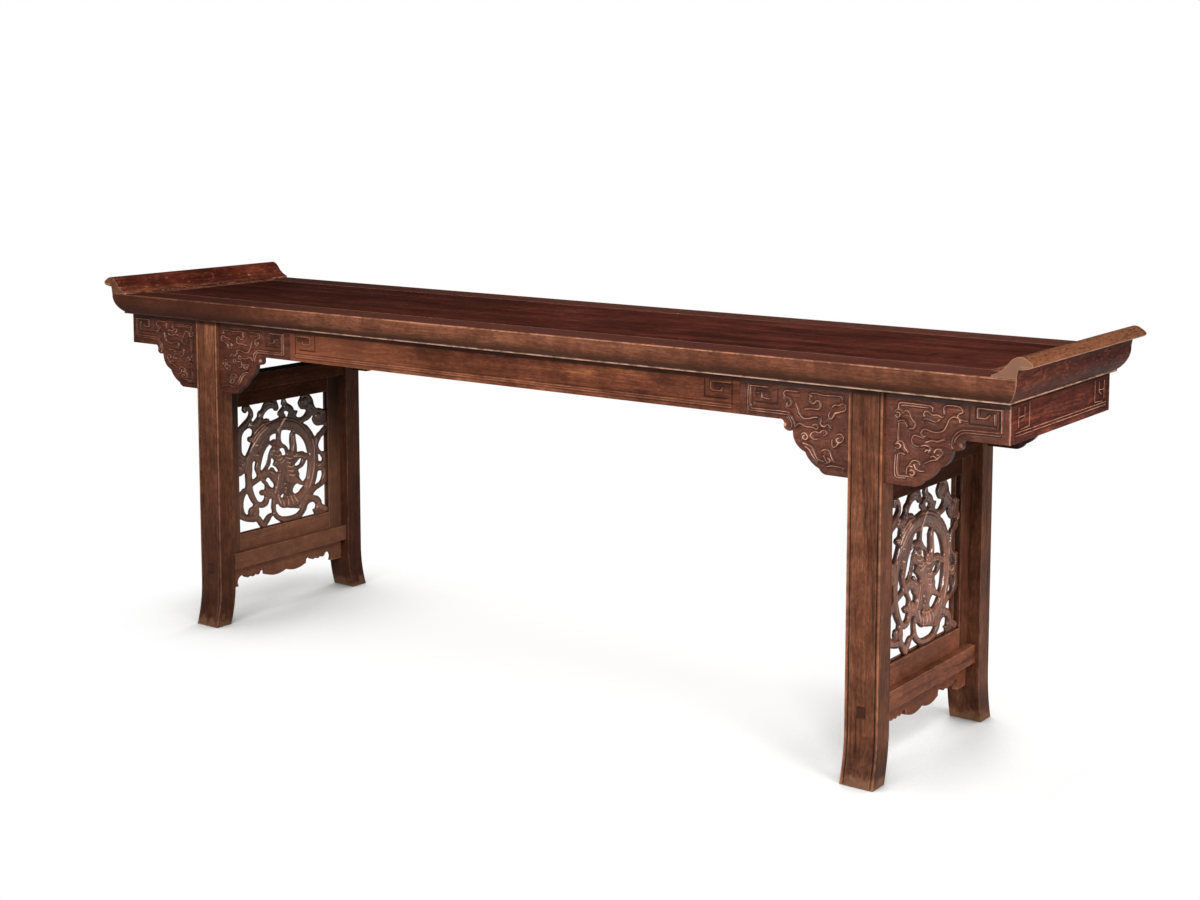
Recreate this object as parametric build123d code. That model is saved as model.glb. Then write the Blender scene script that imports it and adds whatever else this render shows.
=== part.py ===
"""Chinese altar table: framed top with everted flanges on two pierced trestles.

Millimetres. +X runs along the table, -Y is the front, +Z is up.
The origin lies on the floor, under the middle of the table.
"""

from build123d import *
import os
from math import sqrt

os.makedirs("parts", exist_ok=True)

# ---------------------------------------------------------------- whole table
overall_length = 2606.0  # across the rolled ends of the two flanges
overall_depth = 585.0  # front edge to back edge of the top
surface_height = 850.0  # floor to the flat top
flange_rise = 42.0  # flange above the flat top
roll_reach = 31.0  # rolled nose of a flange beyond the end face below it

# --------------------- section of a flange: back from the end face, and rise
flange_step_back = 50.0  # little upright step at the inner side
flange_step_rise = 4.0
flange_hollow_back = 24.0  # middle of the hollow slope
flange_hollow_rise = 19.0
flange_shoulder_back = 6.0  # where the slope rounds over into the crown
flange_shoulder_fall = 4.0  # these falls are below the crown
flange_crown_reach = 8.0  # crown, outward of the end face
flange_brow_reach = 22.0
flange_brow_fall = 6.0
flange_nose_fall = 15.0
flange_lip_reach = 20.0  # underside of the roll
flange_lip_fall = 22.5
flange_neck_reach = 3.0
flange_neck_fall = 25.0

# ------------------------------------------------------------------ top frame
frame_thickness = 54.0  # mitred frame, underside to flat top
frame_width = 88.0  # each member of the mitred frame, edge to inner face
edge_overhang = 21.0  # edge of the top beyond the bead under it
edge_round = 2.0  # arris along the upper edge
ovolo_radius = 57.0  # big round of the moulded edge
ovolo_start = 5.0  # flat top down to where that round begins
bead_height = 6.0  # small bead along the lowest edge
bead_quirk = 2.5  # sunk line above that bead
panel_thickness = 22.0  # floating panel of the top
tongue_thickness = 8.0  # tongue round that panel
tongue_length = 9.0
tongue_drop = 9.0  # flat top down to the tongue
mitre_tenon_width = 36.0
mitre_tenon_thickness = 16.0
mitre_tenon_inset = 40.0  # outer edge of the top to the tenon
mitre_tenon_end = 30.0  # end face to the blind end of the tenon

# -------------------------------------------------------------------- battens
batten_count = 4
batten_setback = 60.0  # middle of a trestle to the outer batten
batten_width = 42.0
batten_depth = 24.0
batten_key_height = 7.0  # dovetail that slides in the underside of the panel
batten_key_waist = 24.0
batten_key_width = 32.0
batten_tenon_length = 22.0
batten_tenon_height = 16.0
batten_tenon_drop = 4.0  # top of the batten down to its tenon

# ----------------------------------------------------------------------- legs
leg_width = 75.0
leg_depth = 50.0
leg_inset = 33.5  # edge of the top to the outer face of a leg
end_overhang = 324.5  # end face of the top to the middle of the trestle
foot_flare = 18.0  # outward sweep of the foot
foot_flare_height = 112.0
leg_bead_width = 6.0  # raised bead down both edges of the show face
leg_groove_width = 3.0
leg_groove_depth = 1.8
leg_tenon_width = 48.0
leg_tenon_thickness = 12.0
leg_tenon_height = 24.0
leg_tenon_inset = 5.0  # inner face of the leg to its tenon

# ---------------------------------------------------- aprons and their boards
apron_height = 79.0  # below the frame
apron_thickness = 18.0
apron_inset = 43.5  # edge of the top to the show face of the long aprons
end_apron_inset = 28.0  # end face of the top to the show face of the end apron
apron_tongue_height = 6.0
apron_tongue_thickness = 8.0
board_inner_reach = 294.5  # middle of the trestle to the joint with the apron
board_tongue = 7.0  # tongue and groove in that joint
board_tongue_inset = 10.0  # edges of the boards to that tongue
spandrel_drop = 102.0  # below the lower edge of the apron
spandrel_inner_reach = 188.0  # middle of the leg to the tip of the hook
spandrel_outer_reach = 198.0

# Lower edge of a spandrel, as (back from the tip of its hook, drop below the apron).
# Arcs run from each even point over the next one: a neck, a hook and three lobes.
spandrel_curve = [
    (-12, 0), (-3, 3), (-2, 10),
    (-2, 14), (0, 18),
    (8, 22), (19, 20),
    (27, 46), (48, 61),
    (62, 80), (80, 91),
    (87, 99), (98, 102),
]

# ------------------------------------------------------------- trestle frames
rail_width = 57.0  # upper rail and stretcher, across the trestle
rail_drop = 204.0  # flat top down to the upper face of the upper rail
upper_rail_height = 43.0
upper_rail_tenon = 18.0
upper_rail_tenon_height = 26.0
stretcher_height = 40.0
stretcher_clearance = 138.0  # floor to the stretcher
through_tenon_width = 18.0
through_tenon_height = 22.0
screen_thickness = 20.0  # frame round the openwork
screen_stile_width = 44.5
screen_lower_height = 44.0
screen_upper_height = 43.0
screen_tongue = 6.0  # tongue of a stile in the leg
screen_tongue_thickness = 8.0
screen_tenon = 14.0  # tenon of a screen rail in a stile
screen_tenon_height = 24.0
carving_thickness = 16.0
carving_tongue = 6.0  # edge of the openwork in the grooves of its frame
carving_tongue_thickness = 9.0
cusped_apron_height = 55.0  # at the brackets beside the legs
cusped_apron_thickness = 12.0
cusped_apron_tongue = 5.0
cusped_tongue_inset = 8.0  # lower end of a bracket to its tongue in the leg

# Lower edge of the cusped apron, as (out from the middle, drop below the stretcher).
# Arcs run from each even point over the next one: a broad lobe, a notch, three small
# lobes, a second notch and the hook beside the bracket.
cusped_curve = [
    (0, 44), (36, 51), (70, 44),
    (74, 43), (75, 38),
    (78, 31), (88, 29),
    (92, 30), (94, 34),
    (102, 38), (111, 34),
    (120, 39), (129, 34),
    (138, 38), (147, 33),
    (150, 29), (158, 28),
    (167, 31), (170, 55),
]
cusped_curve_reach = 209.0  # half width that this curve is drawn for

fit = 0.2  # clearance round tongues and tenons
panel_gap = 0.4  # floating panel to the frame
past = 1.0  # how far a cutting shape runs beyond the face that it cuts

# ------------------------------------------------------------ openwork screen
# Openings between the carved scrolls, as (across, up) from the middle of the screen,
# seen from the right. Those along the edge run on behind the frame.
screen_openings = {
    "top_corner_left": [
        (-172, 102), (-172, 172), (-143, 172), (-141, 155), (-135, 149), (-129, 148),
        (-125, 152), (-120, 151), (-118, 144), (-123, 136), (-134, 128), (-146, 120),
        (-154, 114),
    ],
    "top_left": [
        (-115, 172), (-65, 172), (-70, 157), (-75, 150), (-82, 147), (-87, 140), (-88, 133),
        (-95, 127), (-101, 122), (-108, 124), (-109, 128), (-104, 134), (-103, 144), (-106, 153),
    ],
    "top_arch": [
        (-69, 126), (-63, 137), (-52, 145), (-40, 148), (-32, 146), (-26, 140), (-19, 139),
        (-13, 145), (-13, 154), (-19, 172), (1, 172), (-1, 155), (3, 148), (-5, 142), (-13, 134),
        (-14, 126), (-10, 121), (-25, 117), (-43, 115), (-48, 121), (-55, 124), (-63, 124),
    ],
    "curl_eye": [
        (9, 134), (18, 133), (25, 128), (24, 122), (20, 118), (14, 119), (12, 125), (8, 129),
    ],
    "top_right": [
        (18, 172), (69, 172), (63, 155), (61, 147), (65, 138), (72, 131), (82, 129), (91, 125),
        (85, 116), (76, 111), (67, 110), (57, 112), (53, 117), (58, 126), (56, 130), (45, 133),
        (41, 141), (33, 148), (23, 154), (17, 160),
    ],
    "top_corner_right": [
        (106, 172), (172, 172), (172, 118), (152, 122), (139, 126), (130, 127), (122, 133),
        (119, 141), (117, 150), (112, 159),
    ],
    "right_upper": [
        (79, 93), (97, 98), (106, 103), (114, 109), (116, 105), (113, 98), (116, 89), (123, 81),
        (131, 77), (144, 76), (159, 75), (150, 68), (141, 61), (131, 55), (124, 47), (119, 51),
        (109, 66), (100, 76), (91, 85),
    ],
    "right_moon": [
        (172, 50), (150, 45), (142, 38), (136, 29), (134, 21), (138, 11), (146, 4), (154, 3),
        (172, 2),
    ],
    "right_small": [
        (133, -2), (141, -6), (146, -12), (150, -19), (147, -23), (140, -23), (134, -20),
        (133, -11),
    ],
    "right_crescent": [
        (131, -50), (145, -51), (148, -59), (146, -69), (140, -78), (130, -83), (119, -85),
        (123, -74), (127, -63),
    ],
    "right_lower": [
        (172, -84), (172, -150), (150, -146), (144, -141), (142, -133), (135, -124), (127, -118),
        (119, -115), (111, -112), (119, -104), (127, -100), (140, -96), (155, -90),
    ],
    "bottom_right": [
        (60, -172), (113, -172), (112, -162), (110, -154), (119, -151), (121, -142), (114, -134),
        (105, -132), (95, -134), (88, -140), (85, -148), (78, -156), (68, -165),
    ],
    "bottom_boat": [
        (-27, -115), (-18, -117), (-10, -125), (0, -130), (13, -131), (24, -134), (40, -137),
        (55, -141), (63, -143), (56, -149), (47, -153), (30, -155), (10, -154), (-8, -150),
        (-20, -142), (-27, -132), (-28, -122),
    ],
    "bottom_small": [
        (-62, -172), (-51, -155), (-44, -146), (-38, -144), (-31, -152), (-22, -159),
        (-12, -166), (-8, -172),
    ],
    "bottom_star": [
        (-50, -96), (-41, -98), (-42, -108), (-43, -121), (-41, -134), (-51, -135), (-61, -139),
        (-68, -146), (-73, -150), (-78, -146), (-84, -138), (-90, -132), (-89, -122),
        (-90, -113), (-80, -115), (-70, -115), (-59, -111), (-53, -103),
    ],
    "bottom_corner_left": [
        (-172, -122), (-155, -132), (-140, -140), (-128, -144), (-110, -148), (-98, -149),
        (-92, -157), (-85, -166), (-81, -172), (-172, -172),
    ],
    "left_lower": [
        (-134, -69), (-128, -70), (-123, -79), (-116, -91), (-108, -101), (-112, -105),
        (-119, -107), (-125, -113), (-128, -123), (-136, -121), (-142, -110), (-144, -95),
        (-141, -80),
    ],
    "left_slot": [
        (-172, -19), (-153, -17), (-137, -12), (-134, -22), (-134, -48), (-143, -52),
        (-152, -58), (-172, -70),
    ],
    "left_moon": [
        (-138, 36), (-144, 43), (-146, 53), (-146, 72), (-144, 89), (-138, 98), (-129, 104),
        (-120, 106), (-112, 103), (-106, 96), (-107, 88), (-112, 84), (-119, 84), (-123, 80),
        (-123, 73), (-118, 68), (-112, 65), (-117, 54), (-125, 41), (-131, 35),
    ],
    "inner_wave": [
        (-103, 16), (-97, 10), (-100, -1), (-99, -9), (-96, -18), (-93, -26), (-101, -31),
        (-110, -32), (-112, -21), (-110, -8), (-110, 5), (-108, 12),
    ],
    "inner_sickle": [
        (-49, 51), (-40, 47), (-38, 44), (-45, 37), (-51, 25), (-55, 13), (-59, 3), (-65, -6),
        (-73, -13), (-80, -11), (-80, -1), (-75, 15), (-69, 29), (-60, 42),
    ],
    "inner_fork": [
        (-42, 14), (-34, 10), (-30, 3), (-34, -3), (-33, -8), (-26, -13), (-20, -19), (-16, -25),
        (-21, -28), (-28, -22), (-34, -14), (-42, -11), (-48, -17), (-54, -13), (-49, -7),
        (-44, 2),
    ],
    "inner_top_left": [
        (-46, 59), (-38, 62), (-30, 64), (-22, 62), (-21, 69), (-21, 77), (-31, 78), (-39, 76),
        (-45, 72), (-46, 66),
    ],
    "inner_top": [
        (-1, 83), (15, 82), (26, 79), (35, 76), (30, 70), (28, 59), (28, 45), (29, 32), (26, 25),
        (21, 28), (18, 34), (11, 41), (2, 47), (-4, 54), (-6, 63), (-5, 75),
    ],
    "inner_fan": [
        (49, 66), (61, 61), (72, 52), (82, 39), (89, 25), (92, 15), (94, 7), (86, 9), (75, 15),
        (65, 16), (56, 16), (53, 20), (53, 31), (51, 44), (49, 55),
    ],
    "inner_crescent": [
        (-13, 32), (-8, 35), (0, 35), (8, 30), (11, 22), (11, 15), (2, 15), (-4, 17), (-5, 24),
        (-9, 29),
    ],
    "inner_leaf": [
        (70, -3), (62, -4), (53, -10), (43, -18), (48, -21), (58, -21), (65, -17), (69, -10),
    ],
    "inner_right": [
        (91, -11), (94, -16), (93, -33), (90, -48), (86, -61), (78, -68), (72, -67), (64, -60),
        (60, -52), (61, -45), (57, -36), (60, -32), (68, -30), (77, -25), (83, -18), (87, -12),
    ],
    "inner_bean": [
        (45, -73), (52, -71), (62, -76), (72, -79), (75, -82), (68, -87), (59, -94), (50, -97),
        (42, -97), (36, -91), (35, -85), (39, -78),
    ],
    "inner_dash": [
        (-63, -43), (-57, -37), (-50, -39), (-43, -47), (-36, -54), (-32, -62), (-35, -67),
        (-43, -65), (-50, -60), (-54, -54), (-58, -48),
    ],
    "inner_hook": [
        (-110, -53), (-101, -48), (-90, -44), (-82, -41), (-77, -43), (-73, -49), (-67, -54),
        (-65, -62), (-68, -67), (-77, -66), (-84, -70), (-84, -77), (-78, -82), (-71, -82),
        (-67, -87), (-69, -93), (-76, -98), (-84, -98), (-93, -93), (-100, -83), (-106, -69),
    ],
    "inner_drop": [
        (-11, -95), (-4, -91), (2, -90), (3, -95), (-2, -101), (-8, -99),
    ],
}
drawn_half_width = 164.5  # opening of the frame that they are drawn for
drawn_half_height = 169.0

# ------------------------------------------------------------- derived places
front_y = overall_depth / 2
end_x = overall_length / 2 - roll_reach
frame_z = surface_height - frame_thickness
inner_x = end_x - frame_width
inner_y = front_y - frame_width
trestle_x = end_x - end_overhang
leg_out_y = front_y - leg_inset
leg_in_y = leg_out_y - leg_depth
apron_y = front_y - apron_inset
apron_end_x = end_x - end_apron_inset
tongue_end_x = apron_end_x - 2 * apron_thickness
apron_z = frame_z - apron_height
spandrel_z = apron_z - spandrel_drop
board_joint_x = trestle_x - board_inner_reach
upper_rail_top = surface_height - rail_drop
upper_rail_z = upper_rail_top - upper_rail_height
stretcher_top = stretcher_clearance + stretcher_height
opening_y = leg_in_y - screen_stile_width
opening_z0 = stretcher_top + screen_lower_height
opening_z1 = upper_rail_z - screen_upper_height
opening_middle = (opening_z0 + opening_z1) / 2


def save(solid, name):
    """Write one node of the table."""
    solid.label = name
    export_step(solid, f"parts/{name}.step")


def block(x0, x1, y0, y1, z0, z1):
    """A box between two corners."""
    box = Box(x1 - x0, y1 - y0, z1 - z0, align=(Align.MIN, Align.MIN, Align.MIN))
    return Pos(x0, y0, z0) * box


def inside(lines):
    """The face inside a closed run of lines."""
    return make_face([edge for line in lines for edge in line.edges()])


def arcs(points):
    """Arcs from each even point over the next one."""
    starts = range(0, len(points) - 2, 2)
    return [ThreePointArc(*points[i : i + 3]) for i in starts]


def plan_prism(points, z0, z1):
    """A prism over a plan outline."""
    outline = make_face(Polyline(*points, close=True))
    return Pos(0, 0, z0) * extrude(outline, z1 - z0)


def both_ends(solid):
    """The same thing at the right and the left of the table."""
    return solid, mirror(solid, Plane.YZ)


def both_sides(solid):
    """The same thing at the front and the back of the table."""
    return solid, mirror(solid, Plane.XZ)


# ------------------------------------------------------------------ top frame
def moulding(inner_reach, upper_edge):
    """Section of the frame as (reach, z), with the reach measured outward.

    The edge falls straight, rounds in as a large ovolo, and ends on a small bead.
    The points of its upper edge are given as (in from the edge, below the flat top).
    """
    edge = inner_reach + frame_width
    bead_edge = edge - edge_overhang
    round_top = surface_height - ovolo_start
    bead_top = frame_z + bead_height
    drop = round_top - bead_top
    foot = edge - (ovolo_radius - sqrt(ovolo_radius**2 - drop**2))
    half_drop = drop / 2
    middle = edge - (ovolo_radius - sqrt(ovolo_radius**2 - half_drop**2))
    quirk = bead_edge - bead_quirk
    bead_mid = frame_z + bead_height / 2
    return [
        Polyline(
            (quirk, bead_top),
            (foot, bead_top),
        ),
        ThreePointArc((foot, bead_top), (middle, round_top - half_drop), (edge, round_top)),
        Polyline(
            (edge, round_top),
            *[(edge - back, surface_height - fall) for back, fall in upper_edge],
            (inner_reach, surface_height),
            (inner_reach, frame_z),
            (quirk, frame_z),
        ),
        ThreePointArc((quirk, frame_z), (bead_edge, bead_mid), (quirk, bead_top)),
    ]


def long_rail():
    """Back rail of the frame, mitred at both ends."""
    section = Plane.YZ * inside(moulding(inner_y, [(0, edge_round), (edge_round, 0)]))
    rail = extrude(section, end_x + roll_reach, both=True)
    slope = front_y - end_x
    mitred = plan_prism(
        [
            (-inner_x, inner_x + slope),
            (inner_x, inner_x + slope),
            (end_x + edge_overhang, front_y + edge_overhang),
            (-end_x - edge_overhang, front_y + edge_overhang),
        ],
        frame_z,
        surface_height,
    )
    rail = rail & mitred
    for tenon in both_ends(mitre_tenon(0.0)):
        rail = rail + tenon
    groove_z = surface_height - tongue_drop - tongue_thickness - fit
    rail = rail - block(
        -inner_x - tongue_length - fit,
        inner_x + tongue_length + fit,
        inner_y,
        inner_y + tongue_length + fit,
        groove_z,
        groove_z + tongue_thickness + 2 * fit,
    )
    rail = rail - long_tongue(-tongue_end_x, tongue_end_x, fit)
    for cut in leg_tenons(fit):
        rail = rail - cut
    for x in batten_places():
        rail = rail - batten_tenon(x, fit)
    return rail


def mitre_tenon(gap):
    """Blind tenon of a long rail in the end member, at the right back corner."""
    y1 = front_y - mitre_tenon_inset
    y0 = y1 - mitre_tenon_width
    z0 = frame_z + (frame_thickness - mitre_tenon_thickness) / 2 - tongue_drop
    slope = end_x - front_y
    tip = end_x - mitre_tenon_end + gap
    return plan_prism(
        [
            (y0 - gap + slope, y0 - gap),
            (tip, y0 - gap),
            (tip, y1 + gap),
            (y1 + gap + slope, y1 + gap),
        ],
        z0 - gap,
        z0 + mitre_tenon_thickness + gap,
    )


def end_rail():
    """Right end member of the frame, with the everted flange in one piece."""
    section = Plane.XZ * inside(moulding(inner_x, [(0, 0)]))
    rail = extrude(section, front_y, both=True)
    slope = front_y - end_x
    mitred = plan_prism(
        [
            (inner_x, inner_x + slope),
            (inner_x, -inner_x - slope),
            (end_x + edge_overhang, -front_y - edge_overhang),
            (end_x + edge_overhang, front_y + edge_overhang),
        ],
        frame_z,
        surface_height,
    )
    rail = (rail & mitred) + flange()
    for tenon in both_sides(mitre_tenon(fit)):
        rail = rail - tenon
    groove_z = surface_height - tongue_drop - tongue_thickness - fit
    rail = rail - block(
        inner_x,
        inner_x + tongue_length + fit,
        -inner_y - tongue_length - fit,
        inner_y + tongue_length + fit,
        groove_z,
        groove_z + tongue_thickness + 2 * fit,
    )
    return rail - end_tongue(fit)


def flange():
    """Everted flange: a step, a hollow slope, and a roll that turns outward."""
    crown = surface_height + flange_rise
    inner = end_x - flange_step_back
    step = (inner, surface_height + flange_step_rise)
    lip = (end_x + flange_lip_reach, crown - flange_lip_fall)
    roll = Spline(
        step,
        (end_x - flange_hollow_back, surface_height + flange_hollow_rise),
        (end_x - flange_shoulder_back, crown - flange_shoulder_fall),
        (end_x + flange_crown_reach, crown),
        (end_x + flange_brow_reach, crown - flange_brow_fall),
        (end_x + roll_reach, crown - flange_nose_fall),
        lip,
        tangents=[(1, 0.35), (-1, -0.1)],
    )
    neck = (end_x + flange_neck_reach, crown - flange_neck_fall)
    base = Polyline(lip, neck, (end_x, surface_height), (inner, surface_height), step)
    return extrude(Plane.XZ * inside([roll, base]), front_y, both=True)


# ------------------------------------------------------------- panel, battens
def batten_places():
    """Where the battens cross the underside of the top panel."""
    outer = trestle_x - batten_setback
    step = 2 * outer / (batten_count - 1)
    return [i * step - outer for i in range(batten_count)]


def batten_key(x, gap):
    """Dovetail key of a batten, wider at its root in the panel."""
    z0 = surface_height - panel_thickness
    waist = batten_key_waist / 2 + gap
    wide = batten_key_width / 2 + gap
    outline = Polyline(
        (x - waist, z0),
        (x + waist, z0),
        (x + wide, z0 + batten_key_height + gap),
        (x - wide, z0 + batten_key_height + gap),
        close=True,
    )
    return extrude(Plane.XZ * make_face(outline), inner_y, both=True)


def batten_tenon(x, gap):
    """Tenons of a batten in both long rails."""
    z1 = surface_height - panel_thickness - batten_tenon_drop
    return block(
        x - batten_key_waist / 2 - gap,
        x + batten_key_waist / 2 + gap,
        -inner_y - batten_tenon_length - gap,
        inner_y + batten_tenon_length + gap,
        z1 - batten_tenon_height - gap,
        z1 + gap,
    )


def batten(x):
    """Transverse batten that keeps the top panel flat."""
    z1 = surface_height - panel_thickness
    half = batten_width / 2
    body = block(x - half, x + half, -inner_y, inner_y, z1 - batten_depth, z1)
    return body + batten_key(x, 0.0) + batten_tenon(x, 0.0)


def top_panel():
    """Floating panel, tongued all round into the frame."""
    z0 = surface_height - panel_thickness
    half_x = inner_x - panel_gap
    half_y = inner_y - panel_gap
    panel = block(-half_x, half_x, -half_y, half_y, z0, surface_height)
    tongue_z = surface_height - tongue_drop - tongue_thickness
    panel = panel + block(
        -inner_x - tongue_length,
        inner_x + tongue_length,
        -inner_y - tongue_length,
        inner_y + tongue_length,
        tongue_z,
        tongue_z + tongue_thickness,
    )
    for x in batten_places():
        panel = panel - batten_key(x, fit)
    return panel


# ----------------------------------------------------------------------- legs
def leg_tenons(gap):
    """Tenons on top of both back legs, in the back rail."""
    inner = leg_in_y + leg_tenon_inset
    tenon = block(
        trestle_x - leg_tenon_width / 2 - gap,
        trestle_x + leg_tenon_width / 2 + gap,
        inner - gap,
        inner + leg_tenon_thickness + gap,
        frame_z - gap,
        frame_z + leg_tenon_height + gap,
    )
    return both_ends(tenon)


def leg_face(reach):
    """Side curve of a leg at a reach from the middle: straight, then flaring to the foot."""
    radius = (foot_flare_height**2 + foot_flare**2) / (2 * foot_flare)
    half = foot_flare_height / 2
    bulge = radius - sqrt(radius**2 - half**2)
    return [
        Line((reach, frame_z), (reach, foot_flare_height)),
        ThreePointArc(
            (reach, foot_flare_height),
            (reach + bulge, foot_flare_height - half),
            (reach + foot_flare, 0),
        ),
    ]


def leg_strip(reach, thickness):
    """Face between the side curve at a reach and the same curve further out."""
    outer = leg_face(reach + thickness)
    inner = leg_face(reach)
    caps = [
        Line((reach, frame_z), (reach + thickness, frame_z)),
        Line((reach + foot_flare, 0), (reach + thickness + foot_flare, 0)),
    ]
    return Plane.YZ * inside(outer + inner + caps)


def back_leg():
    """Right back leg: forked top round the apron board, beaded face, flared foot."""
    x0 = trestle_x - leg_width / 2
    x1 = trestle_x + leg_width / 2
    leg = Pos(x0, 0, 0) * extrude(leg_strip(leg_in_y, leg_depth), leg_width)
    groove = leg_strip(leg_out_y - leg_groove_depth, leg_groove_depth + past)
    for start in (x0 + leg_bead_width, x1 - leg_bead_width - leg_groove_width):
        leg = leg - Pos(start, 0, 0) * extrude(groove, leg_groove_width)
    leg = leg - block(
        x0 - past,
        x1 + past,
        apron_y - apron_thickness - fit,
        apron_y + fit,
        spandrel_z,
        frame_z + past,
    )
    leg = leg + leg_tenons(0.0)[0]
    leg = leg - stretcher_tenons(trestle_x, fit) - upper_rail_tenons(trestle_x, fit)
    leg = leg - block(
        trestle_x - screen_tongue_thickness / 2 - fit,
        trestle_x + screen_tongue_thickness / 2 + fit,
        leg_in_y,
        leg_in_y + screen_tongue + fit,
        stretcher_top,
        upper_rail_z,
    )
    return leg - cusped_tongues(trestle_x, fit)


# ---------------------------------------------------- aprons and their boards
def spandrel_edge(side, reach):
    """Lower edge of a spandrel from the apron to the flat beside the leg."""
    deep = spandrel_drop / spandrel_curve[-1][1]
    tip = trestle_x + side * reach
    return arcs([(tip - side * back, apron_z - drop * deep) for back, drop in spandrel_curve])


def board_outline():
    """Spandrel board: apron height all along, dropping to a spandrel round the leg."""
    inner = spandrel_edge(-1, spandrel_inner_reach)
    outer = spandrel_edge(1, spandrel_outer_reach)
    inner_start = inner[0] @ 0
    outer_start = outer[0] @ 0
    rest = [
        Line(inner[-1] @ 1, outer[-1] @ 1),
        Polyline(
            outer_start,
            (apron_end_x, apron_z),
            (apron_end_x, frame_z),
            (board_joint_x, frame_z),
            (board_joint_x, apron_z),
            inner_start,
        ),
    ]
    return Plane.XZ * inside(inner + outer + rest)


def spandrel_board():
    """Right back board: one plank through the fork of the leg, mitred to the end apron."""
    board = extrude(board_outline(), -apron_thickness)
    board = Pos(0, apron_y - apron_thickness, 0) * board
    mitre = plan_prism(
        [
            (apron_end_x, apron_y),
            (apron_end_x - apron_thickness - past, apron_y - apron_thickness - past),
            (apron_end_x + past, apron_y - apron_thickness - past),
            (apron_end_x + past, apron_y),
        ],
        apron_z - past,
        frame_z + past,
    )
    board = board - mitre
    board = board + long_tongue(board_joint_x, tongue_end_x, 0.0)
    return board - joint_tongue(fit)


def long_tongue(x0, x1, gap):
    """Tongue on top of a long apron, in the underside of the rail."""
    middle = apron_y - apron_thickness / 2
    return block(
        x0 - gap,
        x1 + gap,
        middle - apron_tongue_thickness / 2 - gap,
        middle + apron_tongue_thickness / 2 + gap,
        frame_z,
        frame_z + apron_tongue_height + gap,
    )


def joint_tongue(gap):
    """Right tongue of the middle apron, in the end of a spandrel board."""
    middle = apron_y - apron_thickness / 2
    return block(
        board_joint_x,
        board_joint_x + board_tongue + gap,
        middle - apron_tongue_thickness / 2 - gap,
        middle + apron_tongue_thickness / 2 + gap,
        apron_z + board_tongue_inset - gap,
        frame_z - board_tongue_inset + gap,
    )


def middle_apron():
    """Back apron between the two spandrel boards."""
    board = block(
        -board_joint_x,
        board_joint_x,
        apron_y - apron_thickness,
        apron_y,
        apron_z,
        frame_z,
    )
    board = board + long_tongue(-board_joint_x, board_joint_x, 0.0)
    for tongue in both_ends(joint_tongue(0.0)):
        board = board + tongue
    return board


def end_tongue(gap):
    """Tongue on top of the right end apron."""
    middle = apron_end_x - apron_thickness / 2
    reach = apron_y - 2 * apron_thickness
    return block(
        middle - apron_tongue_thickness / 2 - gap,
        middle + apron_tongue_thickness / 2 + gap,
        -reach - gap,
        reach + gap,
        frame_z,
        frame_z + apron_tongue_height + gap,
    )


def end_apron():
    """Right end apron, mitred to the spandrel boards."""
    inner = apron_end_x - apron_thickness
    plan = [
        (apron_end_x, apron_y),
        (apron_end_x, -apron_y),
        (inner, -apron_y + apron_thickness),
        (inner, apron_y - apron_thickness),
    ]
    return plan_prism(plan, apron_z, frame_z) + end_tongue(0.0)


# ------------------------------------------------------------- trestle frames
def upper_rail_tenons(x, gap):
    """Tenons of the upper rail in both legs of a trestle."""
    middle = upper_rail_z + upper_rail_height / 2
    return block(
        x - through_tenon_width / 2 - gap,
        x + through_tenon_width / 2 + gap,
        -leg_in_y - upper_rail_tenon - gap,
        leg_in_y + upper_rail_tenon + gap,
        middle - upper_rail_tenon_height / 2 - gap,
        middle + upper_rail_tenon_height / 2 + gap,
    )


def upper_rail(x):
    """Rail across the top of a trestle."""
    body = block(
        x - rail_width / 2,
        x + rail_width / 2,
        -leg_in_y,
        leg_in_y,
        upper_rail_z,
        upper_rail_top,
    )
    return body + upper_rail_tenons(x, 0.0)


def stretcher_tenons(x, gap):
    """Through tenons of the stretcher; their ends show on the legs."""
    return block(
        x - through_tenon_width / 2 - gap,
        x + through_tenon_width / 2 + gap,
        -leg_out_y - gap,
        leg_out_y + gap,
        stretcher_clearance - gap,
        stretcher_clearance + through_tenon_height + gap,
    )


def stretcher(x):
    """Stretcher across the foot of a trestle."""
    body = block(
        x - rail_width / 2,
        x + rail_width / 2,
        -leg_in_y,
        leg_in_y,
        stretcher_clearance,
        stretcher_top,
    )
    body = body + stretcher_tenons(x, 0.0)
    return body - cusped_tongues(x, fit)


def carving_groove(x):
    """Groove round the opening for the edge of the openwork."""
    return block(
        x - carving_tongue_thickness / 2 - fit,
        x + carving_tongue_thickness / 2 + fit,
        -opening_y - carving_tongue - fit,
        opening_y + carving_tongue + fit,
        opening_z0 - carving_tongue - fit,
        opening_z1 + carving_tongue + fit,
    )


def screen_tenons(x, gap):
    """Tenons of the two screen rails in the stiles."""
    parts = []
    for z0, z1 in ((stretcher_top, opening_z0), (opening_z1, upper_rail_z)):
        middle = (z0 + z1) / 2
        parts.append(
            block(
                x - screen_tongue_thickness / 2 - gap,
                x + screen_tongue_thickness / 2 + gap,
                -opening_y - screen_tenon - gap,
                opening_y + screen_tenon + gap,
                middle - screen_tenon_height / 2 - gap,
                middle + screen_tenon_height / 2 + gap,
            )
        )
    return parts


def screen_stile(x):
    """Back stile of the screen frame, tongued into the leg."""
    stile = block(
        x - screen_thickness / 2,
        x + screen_thickness / 2,
        opening_y,
        leg_in_y,
        stretcher_top,
        upper_rail_z,
    )
    stile = stile + block(
        x - screen_tongue_thickness / 2,
        x + screen_tongue_thickness / 2,
        leg_in_y,
        leg_in_y + screen_tongue,
        stretcher_top,
        upper_rail_z,
    )
    stile = stile - carving_groove(x)
    for cut in screen_tenons(x, fit):
        stile = stile - cut
    return stile


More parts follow.
